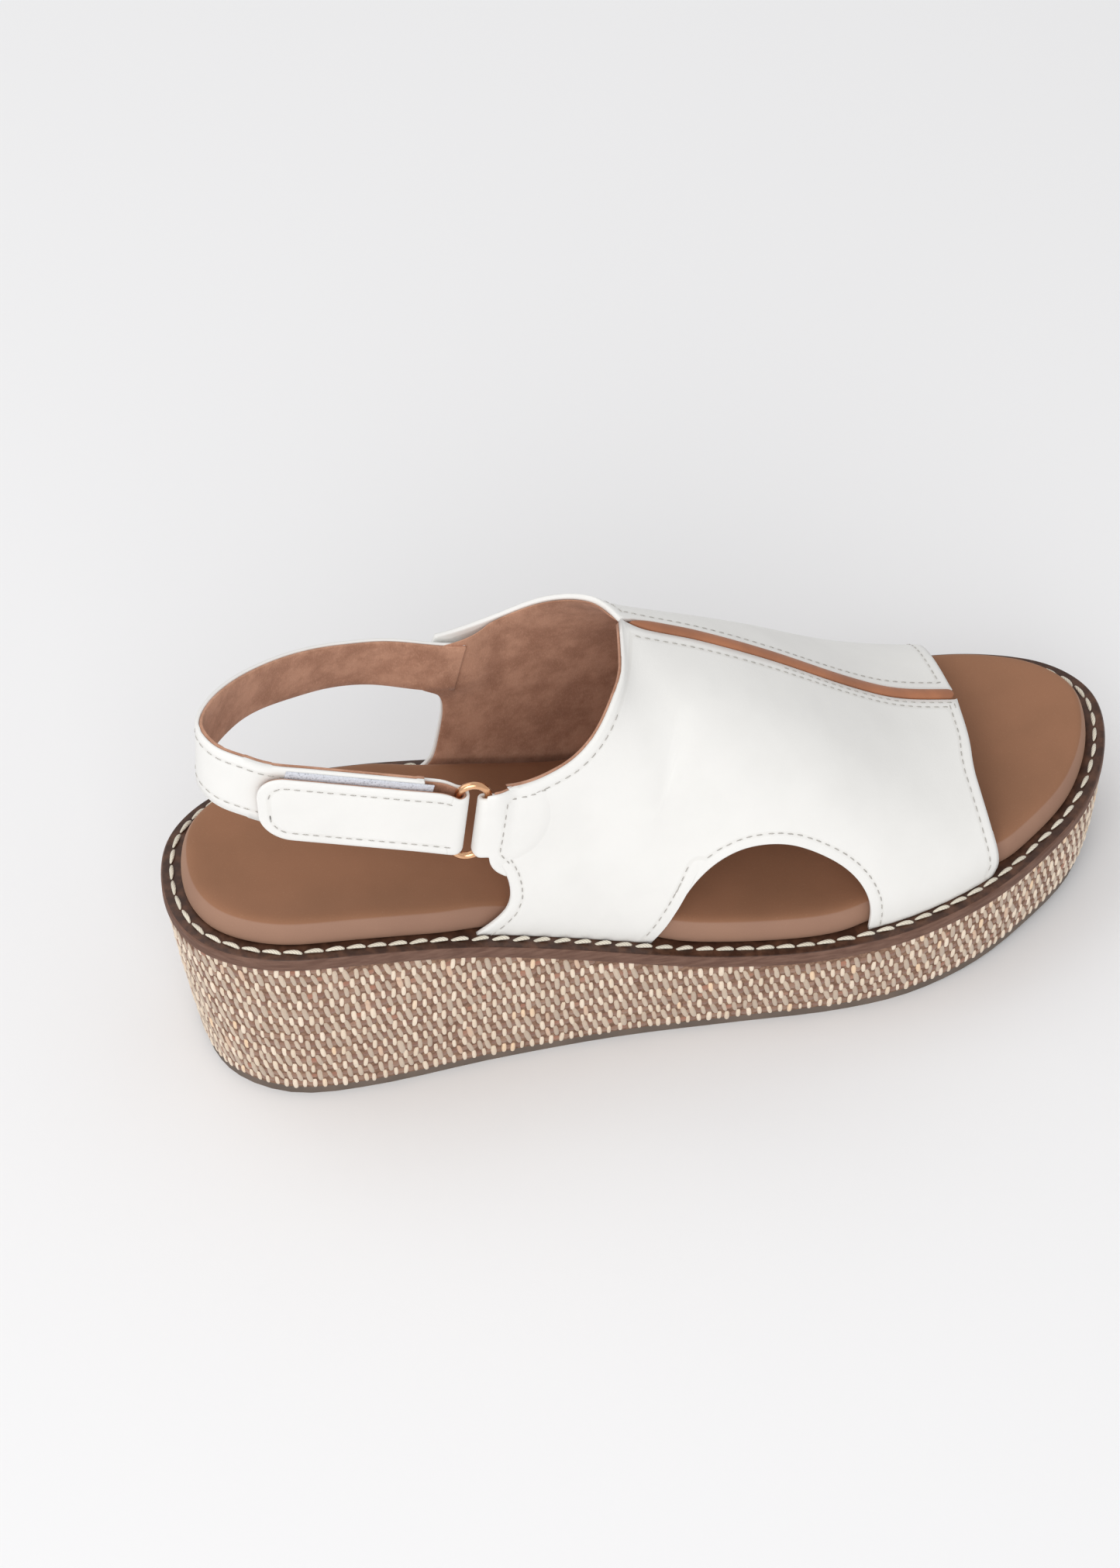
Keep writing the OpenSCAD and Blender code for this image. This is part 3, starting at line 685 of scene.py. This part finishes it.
# The ring's frame: X forward in its plane, -Y outwards, Z along its bars
front_bar = Vector(joints["ring_swing"]["pos_m"])
rear_bar = Vector(joints["closure_peel"]["pos_m"])
bar_line = Vector(joints["closure_peel"]["axis"]).normalized()
swing = Vector(joints["strap_swing"]["pos_m"])
forward = (front_bar - rear_bar).normalized()
inward = bar_line.cross(forward)
middle = (front_bar + rear_bar) / 2
BAR_X = (front_bar - rear_bar).length / 2 / MM


def at_ring(x, y, z):
    """A point given in the ring's frame, in millimetres."""
    return middle + (forward * x + inward * y + bar_line * z) * MM


# ---- sole ----
def sole_shell(node, name):
    """A welded copy, smoothed round the outline with its section kept sharp."""
    obj = welded(node, name)
    bm = bmesh.new()
    bm.from_mesh(obj.data)
    crease = bm.edges.layers.float.new("crease_edge")
    for edge in bm.edges:
        edge[crease] = 1.0 if edge.calc_face_angle(0) > math.radians(14) else 0.0
    bm.to_mesh(obj.data)
    bm.free()
    return smooth_over(obj, 2)


def make_welt():
    """The welt, glossy on top and dull on its cut side."""
    obj = sole_shell("welt", "welt_strip")
    m = obj.modifiers.new("Bevel", "BEVEL")
    m.width, m.segments, m.angle_limit = 0.3 * MM, 2, math.radians(25)
    apply_all(obj)
    bpy.ops.object.shade_smooth_by_angle(angle=math.radians(30))
    dress(obj, welt_top(), "sole_and_upper", ["welt"])
    obj.data.materials.append(welt_side())
    for p in obj.data.polygons:
        p.material_index = 0 if p.normal.z > 0.55 else 1


def make_welt_stitches():
    """Two-ply lockstitches along the welt, one for each of the CAD node's."""
    obj = welded("welt_stitching", "stitch_parts")
    bm = bmesh.new()
    bm.from_mesh(obj.data)
    seen, places = set(), []
    for v in bm.verts:
        if v.index in seen:
            continue
        part, queue = [], [v]
        seen.add(v.index)
        while queue:
            a = queue.pop()
            part.append(a.co.copy())
            for e in a.link_edges:
                b = e.other_vert(a)
                if b.index not in seen:
                    seen.add(b.index)
                    queue.append(b)
        middle_of = sum(part, Vector()) / len(part)
        far = max(part, key=lambda p: (p - middle_of).length)
        ends = [p for p in part if (p - far).length < 1.6 * MM]
        along = sum(ends, Vector()) / len(ends) - middle_of
        if along.cross(middle_of).z < 0:
            along = -along
        places.append((middle_of, along.normalized()))
    bm.free()
    bpy.data.objects.remove(obj)
    pattern = leaf_stitch(5.0 * MM, 1.2 * MM, 0.95 * MM)
    tips = []
    for p, along in places:
        side = Vector((0, 0, 1)).cross(along)
        slant = (along - side * (0.2 + 0.05 * chance.standard_normal())).normalized()
        tips.append(facing(p - Vector((0, 0, 0.35 * MM)), slant, Vector((0, 0, 1))))
    obj = scatter("welt_stitches", pattern, tips, thread_cream)
    bpy.data.objects.remove(pattern)
    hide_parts("welt_stitching")
    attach(obj, "sole_and_upper")


def make_weave():
    """Every yarn float of the woven cover, as a grain laid on the wedge's side."""
    obj = welded("wedge_wrap", "wrap_guide")
    skin = Skin(obj, Vector((0, 0, 0.025)))
    low_rim, top_rim = sorted(skin.rims[:2], key=lambda r: sum(p.z for p in r) / len(r))
    bpy.data.objects.remove(obj)
    columns = 2 * round(len(top_rim) * 0.4 * MM / (2 * YARN_PITCH))
    low = KDTree(len(low_rim))
    for i, p in enumerate(low_rim):
        low.insert((p.x, p.y, 0), i)
    low.balance()
    up = Vector((0, 0, 1))
    floats = {"cream": [], "beige": [], "brown": []}
    for i in range(columns):
        k = int(i * len(top_rim) / columns)
        p = top_rim[k]
        along = top_rim[(k + 5) % len(top_rim)] - top_rim[k - 5]
        along.z = 0
        along.normalize()
        out = Vector((along.y, -along.x, 0))
        if skin.tree.ray_cast(p + out * 0.015 - up * 0.002, -out)[0] is None:
            out = -out
        foot = low_rim[low.find((p.x - out.x * 0.004, p.y - out.y * 0.004, 0))[1]].z
        for j in range(16):
            z = foot + (j + 0.45) * ROW_PITCH
            if z > p.z - 0.4 * MM:
                break
            q, n, _, _ = skin.tree.ray_cast(Vector((p.x, p.y, z)) + out * 0.015, -out)
            if q is None:
                continue
            level = along if along.cross(up).dot(n) > 0 else -along
            lean = (0.06 if i % 2 == 0 else 0.2) + 0.07 * chance.standard_normal()
            line = (up - level * lean).normalized()
            jitter = (level * 0.1 + up * 0.16) * MM * chance.standard_normal()
            size = Matrix.Scale(1 + 0.07 * chance.standard_normal(), 4)
            if (i + j) % 2:
                floats["brown"].append(facing(q + jitter * 0.5 - n * 0.42 * MM, level, n) @ size)
            elif i % 2:
                floats["beige"].append(facing(q + jitter - n * 0.32 * MM, line, n) @ size)
            else:
                floats["cream"].append(facing(q + jitter - n * 0.22 * MM, line, n) @ size)
    looks = {
        "cream": (grain("cream_float", 3.75 * MM, 1.5 * MM, 1.3 * MM, square=0.5),
                  yarn("yarn_cream", (243, 226, 205), (228, 209, 185), (244, 208, 168))),
        "beige": (grain("beige_float", 5.0 * MM, 1.75 * MM, 1.3 * MM, square=0.6),
                  yarn("yarn_beige", (212, 193, 172), (190, 171, 152), (226, 190, 162))),
        "brown": (grain("brown_float", 2.3 * MM, 2.9 * MM, 1.3 * MM, 6, 5, 0.6),
                  yarn("yarn_brown", (134, 96, 79), (162, 128, 108), (176, 118, 94))),
    }
    for name, (pattern, finish) in looks.items():
        piece = scatter("weave_" + name, pattern, floats[name], finish)
        bpy.data.objects.remove(pattern)
        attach(piece, "sole_and_upper")


def make_footbed():
    """The footbed's cover, padded by the solid foam under it."""
    obj = smooth_over(welded("footbed_cover", "footbed_top"), 2)
    dress(obj, footbed_microfibre(), "sole_and_upper", ["footbed_cover"])


# ---- upper ----
def shell_piece(node, name, centre, keep=lambda p: True, relax=0):
    """A smoothed copy of a shell. The second result is the skin that its seams follow."""
    piece = welded(node, name)
    skin = Skin(piece, centre, keep=keep)
    edge = skin if relax == 0 else Skin(piece, centre)
    hold_edges(piece)
    smooth_over(piece, 2)
    if relax:
        relax_inside(piece, edge, relax)
    skin.settle(piece)
    return piece, skin


def fit(x, y, z):
    """A point given in the frame in which the upper was drawn, in millimetres."""
    return Vector((x - DRAWN_X, y - DRAWN_Y, z)) * MM


def make_stitches(name, runs):
    """Fine stitches along runs of points and normals, as one piece."""
    pattern = grain("seam_pattern", SEAM_LENGTH, 0.42 * MM, 0.4 * MM, 6, 4)
    piece = scatter(name, pattern, sewn(runs, SEAM_PITCH), thread_fine)
    bpy.data.objects.remove(pattern)
    return piece


# Second row of stitches, where the strap's inner end is held: x and z of the drawing
STRAP_ROW = [(88.3, 79.5), (87.2, 82), (86.9, 84.5), (88.2, 88), (89.8, 91.5), (91.2, 95.2), (92, 98)]


def make_upper():
    """Both leather halves, their linings, the piping and the fine seams."""
    seams = []
    welt_tree = BVHTree.FromPolygons([v.co for v in nodes["welt"].data.vertices],
                                     [p.vertices for p in nodes["welt"].data.polygons])
    centre = Vector((0, 0, 0.035))

    def free_edge(p):
        """Whether the edge here is open: clear of the neck and above the welt."""
        hit = welt_tree.ray_cast(p + Vector((0, 0, 4 * MM)), Vector((0, 0, -1)))[0]
        on_neck = p.y < 0 and math.hypot(p.x - swing.x, p.z - swing.z) < 13.2 * MM
        return not on_neck and (hit is None or (p - hit).z > 1.0 * MM)

    skins = {}
    for side in ("lateral", "medial"):
        obj, skins[side] = shell_piece("upper_" + side, "leather_" + side, centre, free_edge, 130)
        keep_rim(obj, skins[side])
        dress(obj, leather, "sole_and_upper", ["upper_" + side])
        seams += skins[side].seam(SEAM_INSET)
    beside_piping = lambda q: q.y > 2 * MM and q.x > -2 * MM
    seams += [[s for s in run if beside_piping(s[0])] for run in skins["lateral"].seam(1.4 * MM)]
    seams = [run for run in seams if len(run) > 8]
    obj, _ = shell_piece("lining_lateral", "suede_lateral", centre, relax=70)
    dress(obj, lining, "sole_and_upper", ["lining_lateral"])
    make_medial_lining(centre)
    row = [skins["medial"].tree.find_nearest(fit(x, 27, z)) for x, z in STRAP_ROW]
    seams.append(dense([(q, n) for q, n, _, _ in row]))
    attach(make_stitches("upper_seams", seams), "sole_and_upper")
    piping = welded("vamp_piping", "piping")
    ridge = fit(0, 6, 0).y
    for v in piping.data.vertices:
        if v.co.x < fit(132, 0, 0).x:
            # A tapered nose between the two halves
            v.co = Vector((v.co.x - 2.2 * MM, ridge + (v.co.y - ridge) * 0.4, v.co.z + 0.6 * MM))
    smooth_over(piping, 2)
    dress(piping, plain("piping_leather", (172, 112, 78), 0.42, 0.7, 0.06), "sole_and_upper",
          ["vamp_piping"])


def dense(run):
    """A run of points and normals with many more between them."""
    out = []
    for (p, n), (q, m) in zip(run, run[1:]):
        for k in range(10):
            out.append((p.lerp(q, k / 10), n.lerp(m, k / 10).normalized()))
    return out


def make_medial_lining(centre):
    """The inner half's lining: the leather's inner face moved in, and over the end of the strap."""
    guide = welded("upper_medial", "guide")
    skin = Skin(guide, centre, side=-1)
    bpy.data.objects.remove(guide)
    used = sorted({i for f in skin.faces for i in f})
    order = {i: k for k, i in enumerate(used)}
    normals = {i: Vector() for i in used}
    for f in skin.faces:
        a, b, c = (skin.points[i] for i in f[:3])
        n = (b - a).cross(c - a)
        for i in f:
            normals[i] += n
    points = []
    for i in used:
        p, n = skin.points[i], normals[i].normalized()
        x = p.x / MM + DRAWN_X
        z = p.z / MM
        over_strap = (1 - ease(x, 93, 99)) * ease(z, 76, 80)
        points.append(p + n * (0.25 + 2.3 * over_strap) * MM)
    obj = new_piece("suede_medial", points, [[order[i] for i in f] for f in skin.faces])
    thicken(obj, 0.6, 1)
    smooth_over(obj, 2)
    relax_inside(obj, skin, 30)
    dress(obj, lining, "sole_and_upper", ["lining_medial"])


def ease(value, low, high):
    """0 below low, 1 above high, smooth between them."""
    s = min(1.0, max(0.0, (value - low) / (high - low)))
    return s * s * (3 - 2 * s)


# ---- neck: the leather between the quarter and the ring ----
NECK_TOP = [(79.8, 98.5), (82.4, 98.75), (87, 97.85), (91, 97.45), (95, 97.65)]
NECK_LOW = [(79.8, 76.6), (80.1, 73.9), (80.9, 71.4), (82.3, 69), (84.4, 66.6)]
NECK_FRONT = [(84.2, 68), (93, 75), (97.5, 86), (95, 97.65)]
NECK_SEAM = [(97, 94.6), (91, 94.4), (88, 94.8), (86.2, 94.9), (85.2, 94), (84.9, 92.5), (84.2, 88),
             (83.4, 82.5), (82.8, 79), (82.9, 77.4), (83.6, 75.9), (84.8, 73.7), (85.4, 72.6)]
# Heights of the leather's low and top edge at its inner end, and of the ring's middle
INNER_LOW, INNER_TOP, RING_HEIGHT = 79.2, 95.5, 88.2
# Radius of the leather's outer face round the ring's front bar
BAR_WRAP = 2.7
# Faces of the neck from its low to its top edge
NECK_ACROSS = 20


def on_line(line, u):
    """Point at share u of a smooth line through its points."""
    t = u * (len(line) - 1)
    i = min(int(t), len(line) - 2)
    t -= i
    a, b = line[max(i - 1, 0)], line[i]
    c, d = line[i + 1], line[min(i + 2, len(line) - 1)]
    return [0.5 * (2 * b[k] + (c[k] - a[k]) * t + (2 * a[k] - 5 * b[k] + 4 * c[k] - d[k]) * t * t
                   + (3 * b[k] - a[k] - 3 * c[k] + d[k]) * t ** 3) for k in range(2)]


class Neck:
    """The outer face of the neck, from the quarter's own face to the ring's front bar."""

    def __init__(self):
        near = []
        for v in nodes["upper_lateral"].data.vertices:
            x, z = v.co.x / MM + DRAWN_X, v.co.z / MM
            if x < 101 and 64 < z < 104:
                near.append((x, z, v.co.y / MM))
        near = np.array(near)
        terms = self.terms(near[:, 0], near[:, 1])
        keep = np.ones(len(near), bool)
        for _ in range(4):
            self.surface = np.linalg.lstsq(terms[keep], near[keep, 2], rcond=None)[0]
            keep = near[:, 2] < terms @ self.surface + 0.15

    def terms(self, x, z):
        """Terms of a curved surface of the second degree."""
        u, w = (x - 88) / 10, (z - 86) / 10
        return np.stack([u * 0 + 1, u, w, u * u, u * w, w * w], -1)

    def at(self, x, z, depth=0.0):
        """Point of the neck at x and z of the drawing, that far under its face."""
        face = float(self.terms(np.array(x), np.array(z)) @ self.surface)
        far = math.hypot(x - 83.1, z - 87.5)
        face += -0.2 + 0.5 * ease(far, 11.5, 16)
        p = Vector((x * MM - DRAWN_X * MM, face * MM, z * MM))
        # The plane in which the leather leaves the bar
        height = (Vector((p.x, 0, p.z)) - front_bar).dot(bar_line) / MM
        ahead = (p - front_bar).dot(forward) / MM
        plane = at_ring(BAR_X + ahead, -BAR_WRAP, height)
        share = ease(ahead, 0.5, 7.5)
        p.y = plane.y * (1 - share) + p.y * share
        out = -inward
        return p - out * depth * MM, out


def neck_point(neck, u, v, depth):
    """Point of the neck at share u from ring to quarter and share v from low to top edge."""
    low, top = on_line(NECK_LOW, u), on_line(NECK_TOP, u)
    rear = [NECK_LOW[0][k] * (1 - v) + NECK_TOP[0][k] * v for k in range(2)]
    front = on_line(NECK_FRONT, v)
    x, z = (low[k] * (1 - v) + top[k] * v + rear[k] * (1 - u) + front[k] * u
            - (1 - u) * ((1 - v) * NECK_LOW[0][k] + v * NECK_TOP[0][k])
            - u * ((1 - v) * NECK_LOW[-1][k] + v * NECK_TOP[-1][k]) for k in range(2))
    return (x, z, *neck.at(x, z, depth))


def bar_rows():
    """Rows of the neck's leather from its inner end, round the front bar, to the outer face."""
    rows = []
    for k in range(13):
        turned = k / 11 - 0.18 if k > 2 else 0.0
        angle = math.pi / 2 + math.pi * turned
        inner = 7.0 * (1 - k / 2) if k < 2 else 0.0
        low = INNER_LOW + (NECK_LOW[0][1] - INNER_LOW) * turned
        top = INNER_TOP + (NECK_TOP[0][1] - INNER_TOP) * turned
        row = []
        for j in range(NECK_ACROSS + 1):
            z = low + (top - low) * j / NECK_ACROSS - RING_HEIGHT
            row.append(at_ring(BAR_X + inner + BAR_WRAP * math.cos(angle), BAR_WRAP * math.sin(angle), z))
        rows.append(row)
    return rows


def make_neck():
    """The neck's leather, folded round the ring's front bar, with its lining and its seam."""
    neck = Neck()
    start, end = fit(94, 0, 87.5), fit(83.5, 0, 87.5)
    start.y = end.y = front_bar.y
    seam = [Vector((x, 0, z)) for x, z in (on_line(NECK_SEAM, k / 60) for k in range(61))]
    for name, depth, thickness, finish, slot in (("neck_leather", 0.0, 1.15, leather, "strap_leather"),
                                                 ("neck_lining", 1.25, 0.6, lining, "lining_suede")):
        folded = depth == 0
        rows = bar_rows() if folded else []
        rims = [[9.0] * (NECK_ACROSS + 1) for _ in rows]
        first = 0.0 if folded else 0.2
        for i in range(25):
            u = first + (1 - first) * i / 24
            row, rim = [], []
            for j in range(NECK_ACROSS + 1):
                x, z, p, _ = neck_point(neck, u, j / NECK_ACROSS, depth)
                row.append(p)
                rim.append(SEAM_INSET + min((Vector((x, 0, z)) - q).length for q in seam) * MM)
            rows.append(row)
            rims.append(rim)
        faces = grid_faces(len(rows), NECK_ACROSS)
        obj = new_piece(name, sum(rows, []), faces)
        store_rim(obj, sum(rims, []))
        only(obj)
        if obj.data.polygons[len(faces) // 2].normal.y > 0:
            bpy.ops.object.mode_set(mode="EDIT")
            bpy.ops.mesh.select_all(action="SELECT")
            bpy.ops.mesh.flip_normals()
            bpy.ops.object.mode_set(mode="OBJECT")
        thicken(obj, thickness, -1)
        smooth_over(obj, 1)
        dress(obj, finish, replaced=["ring_tab"] if folded else ())
        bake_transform(obj)
    run = [neck.at(*on_line(NECK_SEAM, k / 90)) for k in range(91)]
    stitches = make_stitches("neck_seam", [run])
    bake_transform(stitches)


# ---- ring, strap and closure ----
def make_ring():
    """The wire ring: two bars and two half rounds swept by a round section."""
    heights = [(v.co - middle).dot(bar_line) / MM for v in nodes["strap_ring"].data.vertices]
    half = max(heights) - BAR_X - 1.0
    path = []
    for k in range(25):
        a = math.pi * k / 24
        path.append((BAR_X * math.cos(a), half + BAR_X * math.sin(a)))
    path += [(-x, -z) for x, z in path]
    points = [(x * MM, 0, z * MM) for x, z in path]
    curve = bpy.data.curves.new("ring", "CURVE")
    curve.dimensions = "3D"
    curve.bevel_depth = 1.0 * MM
    curve.bevel_resolution = 6
    spline = curve.splines.new("POLY")
    spline.points.add(len(points) - 1)
    for p, co in zip(spline.points, points):
        p.co = (*co, 1)
    spline.use_cyclic_u = True
    obj = bpy.data.objects.new("oval_ring", curve)
    bpy.context.scene.collection.objects.link(obj)
    only(obj)
    bpy.ops.object.convert(target="MESH")
    obj = bpy.context.object
    obj.data.transform(Matrix((
        (forward.x, inward.x, bar_line.x, middle.x), (forward.y, inward.y, bar_line.y, middle.y),
        (forward.z, inward.z, bar_line.z, middle.z), (0, 0, 0, 1))))
    bpy.ops.object.shade_smooth()
    dress(obj, ring_metal(), "ring", ["strap_ring"])


def make_strap():
    """The heel strap, its lining and its seams."""
    centre = Vector((-0.075, 0, 0.1))
    for node, name, finish, slot in (("heel_strap", "strap_leather", leather, "strap_leather"),
                                     ("heel_strap_lining", "strap_lining", lining, "lining_suede")):
        obj, skin = shell_piece(node, name, centre)
        keep_rim(obj, skin)
        dress(obj, finish, replaced=[node])
        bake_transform(obj)
        if node == "heel_strap":
            stitches = make_stitches("strap_seams", skin.seam(SEAM_INSET))
            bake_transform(stitches)


# Closure strip, in millimetres: inner run, fold round the rear bar, flap, and the flap's lean
ANCHOR = 16.0
FOLD_RADIUS = 3.0
FOLD = math.pi * FOLD_RADIUS
FLAP_LENGTH, FLAP_HALF, FLAP_CORNER = 51.0, 11.0, 8.0
SKEW = math.radians(8.1)


def strip_edges(s, inset=0.0):
    """Low and high edge of the closure strip at s, which runs from its inner end to the flap's end."""
    back = max(0.0, s - ANCHOR - FOLD, ANCHOR - s)
    half = FLAP_HALF - inset
    rest = back - FLAP_LENGTH + FLAP_CORNER
    if s > ANCHOR + FOLD and rest > 0:
        corner = FLAP_CORNER - inset
        half = FLAP_HALF - FLAP_CORNER + math.sqrt(max(0.0, corner ** 2 - rest ** 2))
    return -half, min(9.3 + 1.7 * min(1.0, back / 3) ** 0.7 - inset, half)


def strip_at(s, w, radius):
    """Point of the closure strip at s and w, that far from the ring's plane."""
    back = max(0.0, s - ANCHOR - FOLD, ANCHOR - s)
    x = -BAR_X - back * math.cos(SKEW) - w * math.sin(SKEW) * min(1.0, back / 12)
    z = 1.1 + back * math.sin(SKEW) + w * math.cos(SKEW)
    if ANCHOR < s < ANCHOR + FOLD:
        a = math.pi / 2 - (s - ANCHOR) / FOLD_RADIUS
        return at_ring(x + radius * math.cos(a), radius * math.sin(a), z)
    return at_ring(x, radius if s <= ANCHOR else -radius, z)


def strip_piece(name, outer, thickness, shrink):
    """A layer of the closure strip, its outer face that far from the ring's plane."""
    tip = ANCHOR + FOLD + FLAP_LENGTH
    stations = [ANCHOR * k / 6 for k in range(6)] + [ANCHOR + FOLD * k / 14 for k in range(15)]
    stations += [ANCHOR + FOLD + 2 + 41 * k / 20 for k in range(20)]
    reach = FLAP_CORNER - shrink
    stations += [tip - FLAP_CORNER + reach * math.sin(math.pi / 2 * k / 10) for k in range(11)]
    across = 14
    points, rims = [], []
    for s in stations:
        low, high = strip_edges(s, shrink)
        for j in range(across + 1):
            w = low + (high - low) * j / across
            points.append(strip_at(s, w, outer))
            corner = math.hypot(max(0, s - tip + FLAP_CORNER), max(0, abs(w) - FLAP_HALF + FLAP_CORNER))
            inset = FLAP_CORNER - corner if s > tip - FLAP_CORNER else min(w - low, high - w)
            rims.append(inset * MM if s > ANCHOR + FOLD + 1.5 else 9 * MM)
    obj = new_piece(name, points, grid_faces(len(stations), across, flip=True))
    store_rim(obj, rims)
    thicken(obj, thickness, -1)
    return smooth_over(obj, 1)


def make_closure():
    """The strap's loose end: inner run, fold round the rear bar, and the flap, whose seam rides on the flap
    that peels back.
    """
    start, end = at_ring(-BAR_X, 1.6, 0), at_ring(-BAR_X, -1.6, 0)
    outer = strip_piece("closure_leather", 3.0, 0.9, 0.0)
    dress(outer, leather, replaced=["closure_flap", "closure_fold", "closure_anchor"])
    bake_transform(outer)
    inner = strip_piece("closure_lining", 2.1, 0.6, 0.4)
    dress(inner, lining, replaced=["closure_flap_lining", "closure_anchor_lining"])
    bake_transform(inner)
    inset = SEAM_INSET / MM
    tip = ANCHOR + FOLD + FLAP_LENGTH
    straight = [ANCHOR + FOLD + 0.6 + (FLAP_LENGTH - FLAP_CORNER - 0.6) * k / 80 for k in range(81)]
    reach = FLAP_CORNER - inset
    curved = [tip - FLAP_CORNER + reach * math.sin(math.pi / 2 * k / 20) for k in range(1, 21)]
    line = [(s, strip_edges(s, inset)[1]) for s in straight + curved]
    line += [(s, strip_edges(s, inset)[0]) for s in reversed(straight + curved)]
    run = [(strip_at(s, w, 3.0), -inward) for s, w in line]
    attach(make_stitches("flap_seam", [run]), "flap")


def make_tapes():
    """The loop tape on the strap and the hook tape under the flap."""
    for node, name, body, finish in (
            ("loop_tape", "loop_pile", "strap_assembly", tape_finish("loop_tape", (226, 229, 238), 0.8)),
            ("hook_tape", "hook_pile", "flap", tape_finish("hook_tape", (232, 232, 238), 0.4))):
        obj = welded(node, name)
        m = obj.modifiers.new("Bevel", "BEVEL")
        m.width, m.segments = 0.15 * MM, 2
        apply_all(obj)
        bpy.ops.object.shade_smooth_by_angle(angle=math.radians(40))
        dress(obj, finish, body, [node])


# ---- studio ----
def make_studio():
    """Camera, floor, world light and two lamps."""
    turn, tilt, roll = (math.radians(a) for a in (CAMERA_TURN, CAMERA_TILT, CAMERA_ROLL))
    back = Vector((math.sin(turn) * math.cos(tilt), -math.cos(turn) * math.cos(tilt), math.sin(tilt)))
    right = Vector((math.cos(turn), math.sin(turn), 0))
    up = back.cross(right)
    x = right * math.cos(roll) + up * math.sin(roll)
    y = up * math.cos(roll) - right * math.sin(roll)
    at = Vector(CAMERA_TARGET) * MM + back * CAMERA_DISTANCE * MM
    camera = bpy.data.objects.new("camera", bpy.data.cameras.new("camera"))
    camera.data.lens = CAMERA_LENS
    camera.data.sensor_width = 36
    camera.data.clip_end = 20
    camera.matrix_world = Matrix(((x.x, y.x, back.x, at.x), (x.y, y.y, back.y, at.y),
                                  (x.z, y.z, back.z, at.z), (0, 0, 0, 1)))
    bpy.context.scene.collection.objects.link(camera)
    bpy.context.scene.camera = camera

    bpy.ops.mesh.primitive_plane_add(size=8, location=(0, 0, cad_low.z))
    floor = bpy.context.object
    floor.name = "floor"
    finish = Finish("studio_floor", Specular_IOR_Level=0.1, Roughness=0.9)
    finish.set(Base_Color=colour(240, 240, 241))
    floor.data.materials.append(finish.material)

    world = bpy.data.worlds.new("studio")
    bpy.context.scene.world = world
    world.use_nodes = True
    world.node_tree.nodes["Background"].inputs["Color"].default_value = (0.985, 0.985, 0.99, 1)
    world.node_tree.nodes["Background"].inputs["Strength"].default_value = 0.66
    for name, place, size, power, tint in (
            ("window", (-0.9, 0.6, 1.5), 1.6, 7, (1, 0.99, 0.975)),
            ("front", (-0.7, -1.5, 1.15), 1.5, 20, (1, 0.995, 0.985))):
        lamp = bpy.data.lights.new(name, "AREA")
        lamp.size, lamp.energy, lamp.color = size, power, tint
        light = bpy.data.objects.new(name, lamp)
        light.location = place
        light.rotation_euler = (-Vector(place)).to_track_quat("-Z", "Y").to_euler()
        bpy.context.scene.collection.objects.link(light)
    bpy.context.scene.view_settings.view_transform = "Standard"


make_studio()
make_welt()
make_welt_stitches()
make_weave()
make_footbed()
make_upper()
make_neck()
make_ring()
make_strap()
make_closure()
make_tapes()
